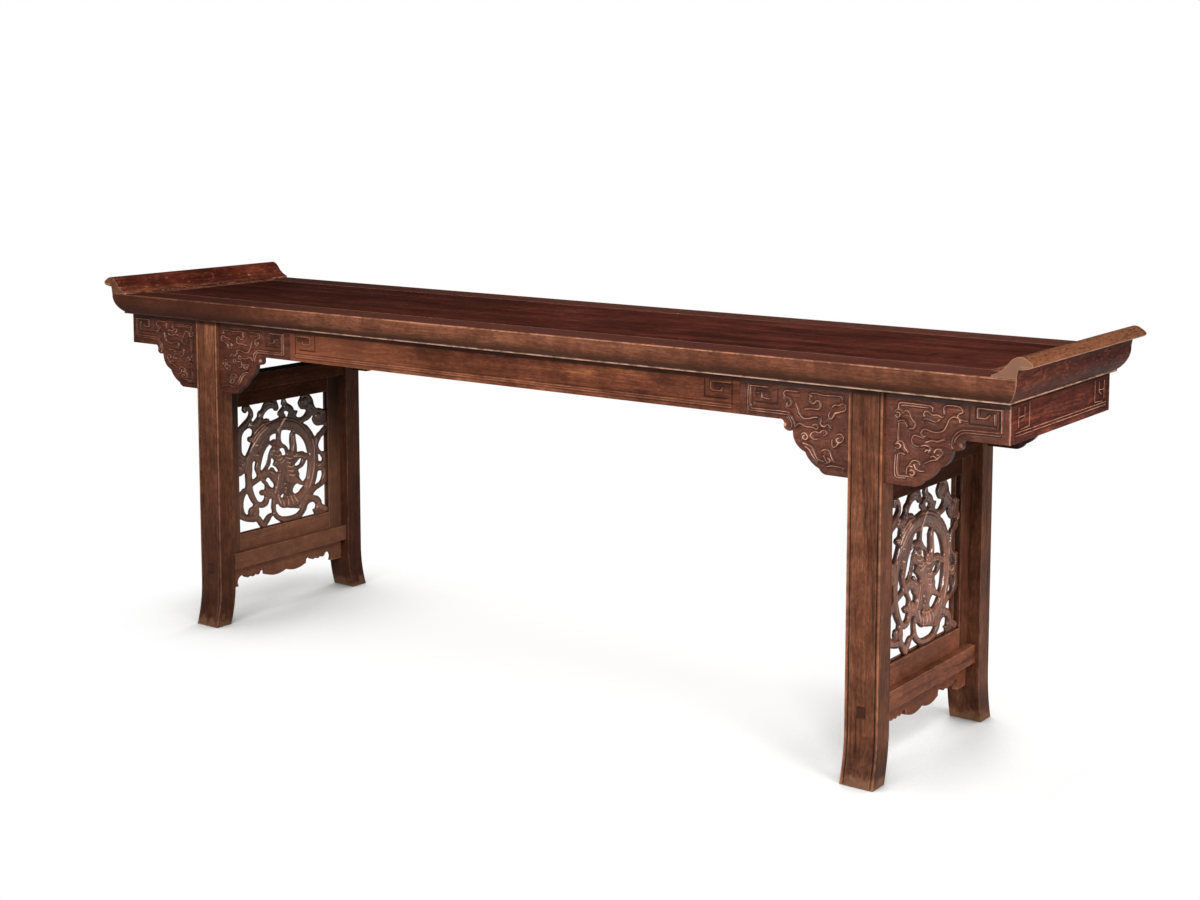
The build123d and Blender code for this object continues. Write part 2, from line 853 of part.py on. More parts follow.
def screen_rail(x, place):
    """Lower (0) or upper (1) rail of the screen frame."""
    z0, z1 = ((stretcher_top, opening_z0), (opening_z1, upper_rail_z))[place]
    rail = block(x - screen_thickness / 2, x + screen_thickness / 2, -opening_y, opening_y, z0, z1)
    rail = rail + screen_tenons(x, 0.0)[place]
    return rail - carving_groove(x)


def carved_screen(x):
    """Openwork board: scrolls left standing between the openings, in a thin rim."""
    across = opening_y / drawn_half_width
    up = (opening_z1 - opening_z0) / 2 / drawn_half_height
    field = Rectangle(2 * opening_y, opening_z1 - opening_z0)
    scrolls = field
    for points in screen_openings.values():
        opening = Spline(*[(a * across, b * up) for a, b in points], periodic=True)
        scrolls = scrolls - make_face(opening)
    rim = offset(field, carving_tongue, kind=Kind.INTERSECTION) - field
    place = Plane(origin=(x, 0, opening_middle), x_dir=(0, 1, 0), z_dir=(1, 0, 0))
    carving = extrude(place * scrolls, carving_thickness / 2, both=True)
    return carving + extrude(place * rim, carving_tongue_thickness / 2, both=True)


def cusped_tongues(x, gap):
    """Tongues of the cusped apron, up into the stretcher and out into the legs."""
    half = cusped_apron_tongue / 2 + gap
    upper = block(
        x - half,
        x + half,
        -leg_in_y,
        leg_in_y,
        stretcher_clearance - gap,
        stretcher_clearance + cusped_apron_tongue + gap,
    )
    outer = block(
        x - half,
        x + half,
        leg_in_y - gap,
        leg_in_y + cusped_apron_tongue + gap,
        stretcher_clearance - cusped_apron_height + cusped_tongue_inset - gap,
        stretcher_clearance,
    )
    for tongue in both_sides(outer):
        upper = upper + tongue
    return upper


def cusped_apron(x):
    """Cusped apron under the stretcher, with a small bracket beside each leg."""
    wide = leg_in_y / cusped_curve_reach
    deep = cusped_apron_height / cusped_curve[-1][1]
    outline = []
    for side in (-1, 1):
        edge = arcs(
            [(side * out * wide, stretcher_clearance - drop * deep) for out, drop in cusped_curve]
        )
        bracket = Polyline(
            edge[-1] @ 1,
            (side * leg_in_y, stretcher_clearance - cusped_apron_height),
            (side * leg_in_y, stretcher_clearance),
        )
        outline = outline + edge + [bracket]
    outline.append(Line((-leg_in_y, stretcher_clearance), (leg_in_y, stretcher_clearance)))
    section = Plane.YZ * inside(outline)
    apron = Pos(x, 0, 0) * extrude(section, cusped_apron_thickness / 2, both=True)
    return apron + cusped_tongues(x, 0.0)


# ------------------------------------------------------------------ the pieces
def save_pairs(back_piece, name, first, second, pair):
    """Write a piece and its mirror image."""
    for solid, place in zip(pair(back_piece), (first, second)):
        save(solid, f"{name}_{place}")


save_pairs(long_rail(), "top_rail", "back", "front", both_sides)
save_pairs(end_rail(), "top_end", "right", "left", both_ends)
save_pairs(middle_apron(), "apron", "back", "front", both_sides)
save_pairs(end_apron(), "end_apron", "right", "left", both_ends)
save(top_panel(), "top_panel")
for number, batten_x in enumerate(batten_places(), start=1):
    save(batten(batten_x), f"batten_{number}")

for name, corner in (("leg", back_leg()), ("spandrel", spandrel_board())):
    for solid, side in zip(both_sides(corner), ("back", "front")):
        save_pairs(solid, f"{name}_{side}", "right", "left", both_ends)

for side, x in (("left", -trestle_x), ("right", trestle_x)):
    save(upper_rail(x), f"upper_rail_{side}")
    save(stretcher(x), f"stretcher_{side}")
    save_pairs(screen_stile(x), f"screen_stile_{side}", "back", "front", both_sides)
    save(screen_rail(x, 0), f"screen_rail_lower_{side}")
    save(screen_rail(x, 1), f"screen_rail_upper_{side}")
    save(carved_screen(x), f"carved_screen_{side}")
    save(cusped_apron(x), f"cusped_apron_{side}")
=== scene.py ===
"""Looks of the Chinese altar table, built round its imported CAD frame.

Lengths are in metres. The drawings of the carving, and the functions that shape it, are in
millimetres, as the CAD is.
"""

import cmath
import math

import bpy
import numpy as np
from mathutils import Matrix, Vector


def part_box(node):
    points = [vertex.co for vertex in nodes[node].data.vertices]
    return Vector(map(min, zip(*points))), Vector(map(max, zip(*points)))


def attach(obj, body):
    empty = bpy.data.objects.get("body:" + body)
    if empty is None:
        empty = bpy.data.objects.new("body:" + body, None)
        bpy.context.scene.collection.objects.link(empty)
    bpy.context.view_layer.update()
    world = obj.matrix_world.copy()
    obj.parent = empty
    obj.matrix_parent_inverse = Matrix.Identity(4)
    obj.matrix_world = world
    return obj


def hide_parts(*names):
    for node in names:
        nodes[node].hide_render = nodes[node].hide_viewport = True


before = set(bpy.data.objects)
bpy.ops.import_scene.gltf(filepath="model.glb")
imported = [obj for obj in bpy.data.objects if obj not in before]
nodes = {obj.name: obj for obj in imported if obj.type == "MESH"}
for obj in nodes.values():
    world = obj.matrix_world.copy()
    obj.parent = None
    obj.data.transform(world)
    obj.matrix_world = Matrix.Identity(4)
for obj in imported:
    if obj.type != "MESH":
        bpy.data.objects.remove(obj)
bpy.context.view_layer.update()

MM = 0.001
SIDES = (("right", 1), ("left", -1))
DEPTHS = (("front", 1), ("back", -1))

# ------------------------------------------------- places from the frame
rail_low, rail_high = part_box("top_rail_front")
leg_low, leg_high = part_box("leg_front_right")
screen_low, screen_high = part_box("carved_screen_right")
apron_low, apron_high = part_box("apron_front")
JOINT_Y, EDGE_Y = -rail_high.y, -rail_low.y  # joint of panel and rail, and edge of the top
FRAME_Z, TOP_Z = rail_low.z, rail_high.z  # underside and top of the frame
BEAD_Z = (FRAME_Z + 0.0025, FRAME_Z + 0.0055)  # bead along its lower edge, painted pale as wear and as a highlight
LEG_X = (leg_low.x + leg_high.x) / 2
LEG_HALF = (leg_high.x - leg_low.x) / 2
ROLL_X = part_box("top_end_right")[1].x  # outermost of the rolled flange
FOOT_X = rail_high.x  # where the flange leaves the edge of the top
BOARD_X, BOARD_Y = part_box("end_apron_right")[1].x, -apron_low.y  # faces of the carved boards
TENON_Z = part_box("stretcher_right")[0].z + 0.011  # middle of the tenon that shows on a leg
TENON_WIDE, TENON_HIGH = 0.020, 0.024

# The viewpoint: its place, degrees round from the front and down, and the raised frame.
CAMERA_PLACE = (2.60442, -3.38342, 1.35294)
CAMERA_AZIMUTH, CAMERA_PITCH = 36.3444, 6.0249
SENSOR, LENS, SHIFT = 36.0, 54.576, -0.13

FLOOR_REACH = 30.0
SHADOW_Y = 0.12  # the floor keeps its shadow this far from the middle line
WHITE, WARM = (1, 1, 1), (1, 0.985, 0.96)
# Each lamp: its place, its target, its width and height, its watts and its colour.
LAMPS = {
    "overhead": ((0.2, -0.2, 3.4), (0.1, 0.1, 0.0), (4.2, 2.6), 46, WHITE),
    "back": ((-1.4, 4.3, 2.2), (-0.1, 0.2, 0.4), (2.2, 1.4), 150, WARM),
    "key": ((0.2, -4.6, 1.75), (0.2, -0.2, 0.55), (1.6, 1.0), 150, WARM),
    "high": ((2.7, -3.0, 3.1), (0.3, 0.0, 0.3), (1.2, 1.0), 115, WARM),
    "side": ((3.8, 0.3, 2.5), (0.9, 0.0, 0.4), (1.2, 1.2), 50, WARM),
    "low": ((4.2, -1.6, 0.9), (-0.4, 0.0, 0.4), (0.9, 0.9), 78, WARM),
}


# ---------------------------------------------------------- node helpers
def new_tree(owner):
    """An empty node tree for a material or a world."""
    owner.use_nodes = True
    owner.node_tree.nodes.clear()
    return owner.node_tree


def node(tree, kind, inputs=None, output=0, **settings):
    """A socket of a new node, which has its settings, and its inputs as values or other sockets."""
    made = tree.nodes.new(kind)
    for key, value in settings.items():
        setattr(made, key, value)
    for key, value in (inputs or {}).items():
        if isinstance(value, bpy.types.NodeSocket):
            tree.links.new(value, made.inputs[key])
        else:
            made.inputs[key].default_value = value
    return made.outputs[output]


def finish_tree(tree, owner, shader):
    """Lead a shader to the output of its material or world."""
    tree.links.new(shader, tree.nodes.new(f"ShaderNodeOutput{owner}").inputs["Surface"])


def maths(tree, operation, first, second=0.0):
    """One sum of two numbers or sockets."""
    return node(tree, "ShaderNodeMath", {0: first, 1: second}, operation=operation)


def vector_maths(tree, operation, *values, output="Vector"):
    """One sum of vectors or sockets, as the vector or the value that it gives."""
    return node(tree, "ShaderNodeVectorMath", dict(enumerate(values)), output, operation=operation)


def part_of(tree, vector, axis):
    """One part of a vector, X, Y or Z."""
    return node(tree, "ShaderNodeSeparateXYZ", {0: vector}, axis)


def step(tree, value, start, end, low=0.0, high=1.0):
    """A smooth step of value between start and end, from low to high."""
    inputs = {"Value": value, "From Min": start, "From Max": end, "To Min": low, "To Max": high}
    return node(tree, "ShaderNodeMapRange", inputs, "Result", interpolation_type="SMOOTHSTEP")


def mixed(tree, factor, first, second, blend="MIX"):
    """Two colours mixed."""
    inputs = {"Fac": factor, "Color1": first, "Color2": second}
    return node(tree, "ShaderNodeMixRGB", inputs, "Color", blend_type=blend)


def mixed_shaders(tree, factor, first, second):
    """Two shaders mixed."""
    return node(tree, "ShaderNodeMixShader", {0: factor, 1: first, 2: second})


def noise(tree, place, scale, detail, roughness, distortion=0.0):
    """Noise over stretched places: scale is in waves to the metre along x, y and z."""
    inputs = {
        "Vector": vector_maths(tree, "MULTIPLY", place, scale), "Scale": 1.0,
        "Detail": detail, "Roughness": roughness, "Distortion": distortion,
    }
    return node(tree, "ShaderNodeTexNoise", inputs, "Fac")


def times(tree, first, *others):
    """The product of numbers or sockets."""
    for other in others:
        first = maths(tree, "MULTIPLY", first, other)
    return first


def added(tree, *weighted):
    """The sum of pairs of a socket and its weight."""
    total = times(tree, *weighted[0])
    for value, weight in weighted[1:]:
        inputs = {0: value, 1: weight, 2: total}
        total = node(tree, "ShaderNodeMath", inputs, operation="MULTIPLY_ADD")
    return total


def tone(red, green, blue):
    """A linear colour from its 0 to 255 screen values."""
    shares = (red / 255, green / 255, blue / 255)
    return (*(v / 12.92 if v <= 0.04045 else ((v + 0.055) / 1.055) ** 2.4 for v in shares), 1.0)


# ---------------------------------------------------------------- studio
def add_object(name, data):
    """A new object in the scene."""
    made = bpy.data.objects.new(name, data)
    bpy.context.scene.collection.objects.link(made)
    return made


def place_facing(thing, place, direction):
    """Put a camera or a lamp at its place, looking along a direction."""
    thing.location = place
    thing.rotation_euler = direction.to_track_quat("-Z", "Y").to_euler()


def add_camera():
    """A camera at the front right, slightly above, with a raised frame."""
    azimuth, pitch = math.radians(CAMERA_AZIMUTH), math.radians(CAMERA_PITCH)
    data = bpy.data.cameras.new("camera")
    data.sensor_width, data.lens, data.shift_y = SENSOR, LENS, SHIFT
    camera = add_object("camera", data)
    level = math.cos(pitch)
    look = Vector((-math.sin(azimuth) * level, math.cos(azimuth) * level, -math.sin(pitch)))
    place_facing(camera, CAMERA_PLACE, look)
    bpy.context.scene.camera = camera


def add_lamps():
    """A key in front, a high lamp front right, two at the right, one behind, one overhead."""
    for name, (place, target, size, watts, colour) in LAMPS.items():
        data = bpy.data.lights.new(name, "AREA")
        data.shape = "RECTANGLE"
        data.size, data.size_y = size
        data.energy, data.color = watts, colour
        lamp = add_object(name, data)
        place_facing(lamp, place, Vector(target) - Vector(place))
        lamp.visible_glossy = name != "back"  # its reflection would haze the top


def floor_paper():
    """White to the camera, but for a soft shadow between the legs and just outside them, partly cast and
    partly painted where the floor is enclosed; away from the legs more glow lightens it.
    """
    material = bpy.data.materials.new("floor_paper")
    tree = new_tree(material)
    away = vector_maths(tree, "ABSOLUTE", node(tree, "ShaderNodeTexCoord", output="Object"))
    outside = vector_maths(tree, "SUBTRACT", away, (LEG_X, SHADOW_Y, 0.0))
    outside = vector_maths(tree, "MAXIMUM", outside, (0.0, 0.0, 0.0))
    clear = step(tree, vector_maths(tree, "LENGTH", outside, output="Value"), 0.04, 0.36)
    from_leg = maths(tree, "SUBTRACT", part_of(tree, away, "X"), LEG_X - 0.08)
    between = step(tree, maths(tree, "ABSOLUTE", from_leg), 0.02, 0.40, 0.22, 0.60)
    # Painted shadow: the floor's colour and its glow are darkened where it is enclosed.
    open_air = node(tree, "ShaderNodeAmbientOcclusion", {"Distance": 0.55}, "AO", samples=6)
    shade = step(tree, open_air, 0.1, 1.0, 0.10, 0.92)
    glow_with_painted_shadow = maths(tree, "MAXIMUM", step(tree, open_air, 0.1, 0.92, 0.16, 1.0), clear)
    shaded = node(tree, "ShaderNodeBsdfDiffuse", {"Color": shade})
    white = node(tree, "ShaderNodeEmission", {"Color": glow_with_painted_shadow, "Strength": 1.0})
    # Painted light: the floor glows more away from the legs, which lightens its shadow there.
    seen = mixed_shaders(tree, maths(tree, "MAXIMUM", clear, between), shaded, white)
    bounced = node(tree, "ShaderNodeBsdfDiffuse", {"Color": (0.42, 0.42, 0.42, 1)})
    to_camera = node(tree, "ShaderNodeLightPath", output="Is Camera Ray")
    finish_tree(tree, "Material", mixed_shaders(tree, to_camera, bounced, seen))
    return material


def add_floor():
    """A large floor under the table."""
    mesh = bpy.data.meshes.new("floor")
    corners = [(x * FLOOR_REACH, y * FLOOR_REACH, 0) for x, y in ((-1, -1), (1, -1), (1, 1), (-1, 1))]
    mesh.from_pydata(corners, [], [(0, 1, 2, 3)])
    mesh.materials.append(floor_paper())
    add_object("floor", mesh)


def add_world():
    """White to the camera. Gloss sees a grey floor and horizon under a dark studio."""
    world = bpy.data.worlds.new("studio")
    bpy.context.scene.world = world
    tree = new_tree(world)
    up = part_of(tree, node(tree, "ShaderNodeTexCoord", output="Generated"), "Z")
    ambient, backdrop, white = (
        node(tree, "ShaderNodeBackground", {"Color": colour, "Strength": strength})
        for colour, strength in (
            ((1.0, 0.99, 0.975, 1), 0.32),
            ((1, 1, 1, 1), step(tree, up, 0.02, 0.12, 0.24, 0.05)),
            ((1, 1, 1, 1), 1.0),
        )
    )
    to_camera, glossy, through = (
        node(tree, "ShaderNodeLightPath", output=f"Is {ray} Ray")
        for ray in ("Camera", "Glossy", "Transmission")
    )
    lit = mixed_shaders(tree, maths(tree, "MAXIMUM", glossy, through), ambient, backdrop)
    finish_tree(tree, "World", mixed_shaders(tree, to_camera, lit, white))


# ------------------------------------------------------------------ wood
# Dark of grime in pores, joints and hollows, also laid as painted shade and painted shadow.
GRIME_AND_SHADE = (24, 13, 9)


class Finish:
    """The colour of a wood, laid in layers that are weighted by its fields.

    A weight is a number, a socket, the name of a field, or a smooth step over a field, as
    (name, start, end) or (name, start, end, low, high). A name in bars is that field without its
    sign, so |X| is how far a place is from the middle.
    """

    def __init__(self, tree, fields):
        self.tree = tree
        self.fields = fields
        self.colour = None

    def weight(self, given):
        """The number or socket of a weight."""
        if isinstance(given, tuple):
            return step(self.tree, self.weight(given[0]), *given[1:])
        if not isinstance(given, str):
            return given
        if given not in self.fields:
            self.fields[given] = maths(self.tree, "ABSOLUTE", self.fields[given.strip("|")])
        return self.fields[given]

    def times(self, *weights):
        """The product of weights."""
        return times(self.tree, *(self.weight(given) for given in weights))

    def band(self, name, low, high, soft):
        """1 where a field is between low and high, with soft shoulders outside them."""
        return self.times((name, low - soft, low), (name, high + soft, high))

    def lay(self, colour, *weights):
        """Lay a colour, in screen values, over the wood."""
        self.mix(tone(*colour), *weights)

    def mix(self, colour, *weights):
        """Lay a linear colour over the wood."""
        self.colour = mixed(self.tree, self.times(*weights), self.colour, colour)

    def dim(self, *weights):
        """Multiply the colour."""
        self.colour = mixed(self.tree, 1.0, self.colour, self.times(*weights), "MULTIPLY")

    def spare(self, *weights):
        """Multiply the rubbed wear of lines and edges."""
        self.fields["rub"] = self.times("rub", *weights)


def joint_lines(finish):
    """Rubbed pale joints between the panel of the top and its rails."""
    joint = finish.band("|Y|", JOINT_Y - 0.0009, JOINT_Y + 0.0009, 0.0006)
    finish.lay((168, 112, 92), joint, "rub", 0.7)


def top_marks(finish):
    """Panel: darker toward the left."""
    finish.dim(("X", -1.0, 0.3, 0.6, 1.0))
    joint_lines(finish)


def rail_marks(finish):
    """Front and back edge: chips on its arris, painted shade on the lower part of its moulding, a painted
    shadow line under its bead, and the bead painted pale as wear and a highlight.
    """
    flat = finish.weight(("Z", TOP_Z - 0.0015, TOP_Z - 0.0005))
    left = finish.weight(("X", -0.3, -1.1))
    finish.lay((70, 31, 23), flat, added(finish.tree, (left, 0.15), (flat, 0.80)))
    arris = finish.band("Z", TOP_Z - 0.0026, TOP_Z - 0.0008, 0.0005)
    chipped = ("mottle", 0.42, 0.60, 0.10, 0.55)
    finish.lay((176, 120, 92), arris, ("|Y|", EDGE_Y - 0.004, EDGE_Y - 0.003), chipped)
    # Painted shade: the lower part of the moulding, which faces down, is darker.
    finish.lay((46, 29, 22), ("Z", FRAME_Z + 0.033, FRAME_Z + 0.010, 0.0, 0.7))
    dull = ("X", -1.1, -0.5, 0.25, 0.85)
    # The bead is painted pale, as wear and as a highlight.
    finish.lay((196, 158, 138), finish.band("Z", *BEAD_Z, 0.0008), "rub", dull, 0.8)
    # Painted shadow: a dark line under the bead.
    finish.lay(GRIME_AND_SHADE, ("Z", FRAME_Z + 0.0018, FRAME_Z + 0.0008), 0.9)
    finish.lay((54, 25, 17), ("X", -0.42, -0.95, 0.0, 0.75))
    joint_lines(finish)


def flange_marks(finish):
    """End member: pale worn roll, chipped moulding and foot, grey end grain, painted shade on its lower
    moulding and under the roll, and a bead painted pale as wear and a highlight.
    """
    # Painted shade on the lower part of the moulding.
    finish.lay((50, 24, 18), ("Z", FRAME_Z + 0.035, FRAME_Z + 0.010), 0.5)
    # The bead is painted pale, as wear and as a highlight.
    finish.lay((196, 150, 126), finish.band("Z", *BEAD_Z, 0.0008), "rub", 0.8)
    side = finish.weight(("|X|", ROLL_X - 0.0275, ROLL_X - 0.0230))
    moulding = finish.times(("|X|", FOOT_X - 0.010, FOOT_X - 0.002), ("Z", TOP_Z + 0.024, TOP_Z + 0.018))
    # Painted shade under the roll.
    finish.lay((36, 11, 8), moulding, 0.45)
    worn = ("specks", 0.36, 0.60, 0.25, 0.80)
    finish.lay((114, 75, 51), ("Z", TOP_Z + 0.020, TOP_Z + 0.026), side, worn)
    lip = finish.band("Z", TOP_Z + 0.0222, TOP_Z + 0.0245, 0.0008)
    finish.lay((196, 150, 122), lip, side, "rub", 0.6)
    finish.lay((126, 70, 58), moulding, ("specks", 0.48, 0.60), ("mottle", 0.46, 0.58), 0.4)
    above = finish.weight(("Z", TOP_Z - 0.0010, TOP_Z + 0.0005))
    inner = finish.weight(("|X|", FOOT_X - 0.010, FOOT_X - 0.017))
    foot = finish.band("Z", TOP_Z + 0.0003, TOP_Z + 0.0022, 0.0006)
    foot = finish.times(foot, ("specks", 0.50, 0.60), inner, 0.8)
    scuffs = finish.times(("specks", 0.58, 0.68), ("mottle", 0.48, 0.60), above, inner, 0.42)
    finish.lay((178, 134, 106), maths(finish.tree, "MAXIMUM", foot, scuffs))
    finish.lay((108, 78, 62), ("|normal Y|", 0.86, 0.97), above, ("X", -0.5, 0.5, 0.40, 0.85))


def leg_marks(finish):
    """Leg: scored lines and rubbed beads down its show face, a dark left side, a bleached foot, painted
    shadow under the top, painted shade high on the back left leg, and painted light that makes it lighter
    toward the top and darker toward the bottom.
    """
    tree, fields = finish.tree, finish.fields
    fields["from leg"] = maths(tree, "SUBTRACT", finish.weight("|X|"), LEG_X)
    fields["from tenon"] = maths(tree, "SUBTRACT", fields["Z"], TENON_Z)
    fields["height"] = added(tree, (fields["Z"], 1.0), (fields["mottle"], -0.09))
    face = finish.times(("|normal Y|", 0.6, 0.8), ("|Y|", BOARD_Y - 0.004, BOARD_Y + 0.001))
    score = finish.band("|from leg|", LEG_HALF - 0.0086, LEG_HALF - 0.0064, 0.0006)
    finish.lay((26, 13, 9), score, face, 0.85)
    bead = ("|from leg|", LEG_HALF - 0.0045, LEG_HALF - 0.0030)
    finish.lay((186, 118, 84), bead, face, "rub", 0.36)
    # Painted shadow under the top.
    finish.lay(GRIME_AND_SHADE, ("Z", FRAME_Z - 0.014, FRAME_Z - 0.006), 0.8)
    left = ("X", -0.5, -0.8)
    # Painted shade high on the back left leg, under the top.
    finish.lay(GRIME_AND_SHADE, left, ("Y", 0.1, 0.2), ("Z", 0.25, 0.60), 0.65)
    finish.lay((48, 24, 16), left, ("Z", 0.62, 0.12), 0.6)
    # Painted light and shade: lighter toward the top, darker toward the bottom.
    finish.dim(("Z", 0.75, 0.30, 1.08, 0.92))
    finish.lay(GRIME_AND_SHADE, finish.band("height", 0.0, 0.022, 0.02), 0.22)
    finish.lay((122, 92, 68), ("height", -0.018, -0.042), 0.38)
    beside = ("|from leg|", TENON_WIDE / 2 + 0.0012, TENON_WIDE / 2)
    above = ("|from tenon|", TENON_HIGH / 2 + 0.0012, TENON_HIGH / 2)
    mortise = finish.times(beside, above, face)
    finish.spare(step(tree, mortise, 0.5, 0.0))
    finish.lay(GRIME_AND_SHADE, mortise, 0.7)


def cross_marks(finish):
    """Parts between the legs: painted shade high up under the top, stronger on the left, and dark end
    grain of the tenons.
    """
    finish.lay((98, 70, 56), ("X", 0.5, -0.5, 0.0, 0.4))
    # Painted shade: darker high up under the top, more on the left.
    finish.lay(GRIME_AND_SHADE, ("Z", 0.31, 0.59), ("X", -0.5, 0.5, 0.88, 0.45))
    tenon = finish.weight(("|Y|", BOARD_Y + 0.0055, BOARD_Y + 0.0070))
    finish.spare(step(finish.tree, tenon, 0.5, 0.0))
    finish.lay((40, 23, 17), tenon, 0.88)


def spandrel_marks(finish):
    """Spandrel: the wear and painted highlights of its fine lines are bright in places, and duller toward
    the left.
    """
    finish.spare(("patina", 0.36, 0.58, 0.4, 1.2), ("X", -1.0, -0.4, 0.6, 1.0))


def apron_marks(finish):
    """Middle apron: paler toward its left end."""
    finish.lay((134, 80, 58), ("X", -0.10, -0.55, 0.0, 0.35))


# Patterns along the grain: waves to the metre along it and across it, and the noise's detail,
# roughness and distortion. Patches are the same every way.
GRAIN_PATTERNS = {
    "bands": (1.6, 22, 3.0, 0.55, 0.6), "streaks": (7, 190, 5.0, 0.62),
    "fibres": (45, 900, 3.0, 0.6), "specks": (60, 260, 2.0, 0.7), "pores": (110, 1500, 1.0, 0.4),
}
PATCHES = {"patina": (5, 4.0, 0.6), "mottle": (34, 4.0, 0.62)}


def wood_fields(tree, grain, seed):
    """Where a point is, how it faces, and the patterns of old wood there."""
    here = node(tree, "ShaderNodeTexCoord", output="Object")
    facing = node(tree, "ShaderNodeNewGeometry", output="True Normal")
    shifted = vector_maths(tree, "ADD", here, (seed * 1.37, seed * 2.11, seed * 0.73))
    waves = {"Vector": shifted, "Scale": 3.5, "Detail": 2.0}
    wander = node(tree, "ShaderNodeTexNoise", waves, "Color")
    place = vector_maths(tree, "MULTIPLY_ADD", wander, (0.03, 0.03, 0.03), shifted)
    fields = {axis: part_of(tree, here, axis) for axis in "XYZ"}
    fields["normal Y"] = part_of(tree, facing, "Y")
    for name, (along, across, *ways) in GRAIN_PATTERNS.items():
        scale = tuple(along if axis == grain else across for axis in "xyz")
        fields[name] = noise(tree, place, scale, *ways)
    for name, (scale, *ways) in PATCHES.items():
        fields[name] = noise(tree, shifted, (scale, scale, scale), *ways)
    fields["rub"] = step(tree, fields["mottle"], 0.34, 0.60, 0.30, 1.0)
    fields["pore"] = step(tree, fields["pores"], 0.60, 0.70)
    return fields


def lay_figure(finish, tones, patches, figured):
    """The figure of the wood from its dark, middle and light, with patina, specks and pores."""
    fields = finish.fields
    parts = (fields["bands"], 0.42), (fields["streaks"], 0.40), (fields["fibres"], 0.18)
    fields["figure"] = added(finish.tree, *parts)
    spread = 0.18 / figured
    finish.colour = tones[0]
    finish.mix(tones[1], ("figure", 0.51 - spread, 0.51))
    finish.mix(tones[2], ("figure", 0.50, 0.50 + spread))
    tide = ("patina", 0.30, 0.72, 1 - 0.30 * patches, 1 + 0.22 * patches)
    finish.dim(tide, ("mottle", 0.30, 0.72, 0.78, 1.20), ("specks", 0.30, 0.70, 0.80, 1.20))
    finish.lay(GRIME_AND_SHADE, "pore", 0.55)


def carved_wear(finish):
    """Worn lines with painted highlights, and hollows darkened by grime and painted shade, of a carving,
    from the relief kept in its mesh.
    """
    along_x = ("|X|", BOARD_X - 0.0032, BOARD_X - 0.0010)
    along_y = ("|Y|", BOARD_Y - 0.0032, BOARD_Y - 0.0010)
    finish.lay((188, 146, 124), along_x, along_y, "rub", 0.6)
    relief = node(finish.tree, "ShaderNodeAttribute", output="Fac", attribute_name="relief")
    return step(finish.tree, relief, 0.80, 1.0), step(finish.tree, relief, 0.62, 0.22)


def plain_wear(finish):
    """Worn edges and dirty corners, from how the surface turns and how open it lies."""
    tree = finish.tree
    turned = node(tree, "ShaderNodeBevel", {"Radius": 0.0028}, samples=4)
    facing = node(tree, "ShaderNodeNewGeometry", output="True Normal")
    straight = vector_maths(tree, "DOT_PRODUCT", turned, facing, output="Value")
    near = {"Distance": 0.010}
    open_air = node(tree, "ShaderNodeAmbientOcclusion", near, "AO", samples=5, only_local=True)
    edge = times(tree, step(tree, straight, 0.985, 0.86), step(tree, open_air, 0.75, 0.93))
    return edge, step(tree, open_air, 0.78, 0.45)


def wood(
    name, seed, grain, tones, marks=None, gloss=0.36, shine=0.08, coat=0.0, worn=0.5,
    carved=False, patches=1.0, figured=1.0,
):
    """Old waxed hardwood: its figure, its own marks, its worn edges and painted highlights, and its
    hollows darkened by grime and painted shade.
    """
    material = bpy.data.materials.new(name)
    tree = new_tree(material)
    finish = Finish(tree, wood_fields(tree, grain, seed))
    tones = [tone(*t) for t in tones]
    lay_figure(finish, tones, patches, figured)
    if marks:
        marks(finish)
    edge, grime_and_shade = carved_wear(finish) if carved else plain_wear(finish)
    rubbed_and_highlight_tone = tuple(0.35 * v + 0.65 * w for v, w in zip(tones[-1], tone(206, 164, 142)))
    # Worn edges, and on carvings also painted highlights on crests and rims.
    finish.mix(rubbed_and_highlight_tone, edge, "rub", worn)
    # Grime, and on carvings also painted shade in hollows and under the top.
    finish.lay(GRIME_AND_SHADE, grime_and_shade, 0.8)

    fields = finish.fields
    roughness = finish.weight(("mottle", 0.3, 0.7, gloss - 0.06, gloss + 0.10))
    roughness = added(tree, (roughness, 1.0), (fields["pore"], 0.2), (grime_and_shade, 0.3))
    ups = {"streaks": 0.5, "fibres": 0.3, "pore": -0.35, "mottle": 0.8}
    height = added(tree, *((fields[key], share) for key, share in ups.items()))
    bump = node(tree, "ShaderNodeBump", {"Strength": 0.35, "Distance": 0.0009, "Height": height})
    inputs = {
        "Base Color": finish.colour, "Roughness": roughness, "IOR": 1.45, "Normal": bump,
        "Specular IOR Level": shine, "Coat Weight": coat, "Coat Roughness": 0.12,
    }
    finish_tree(tree, "Material", node(tree, "ShaderNodeBsdfPrincipled", inputs))
    return material


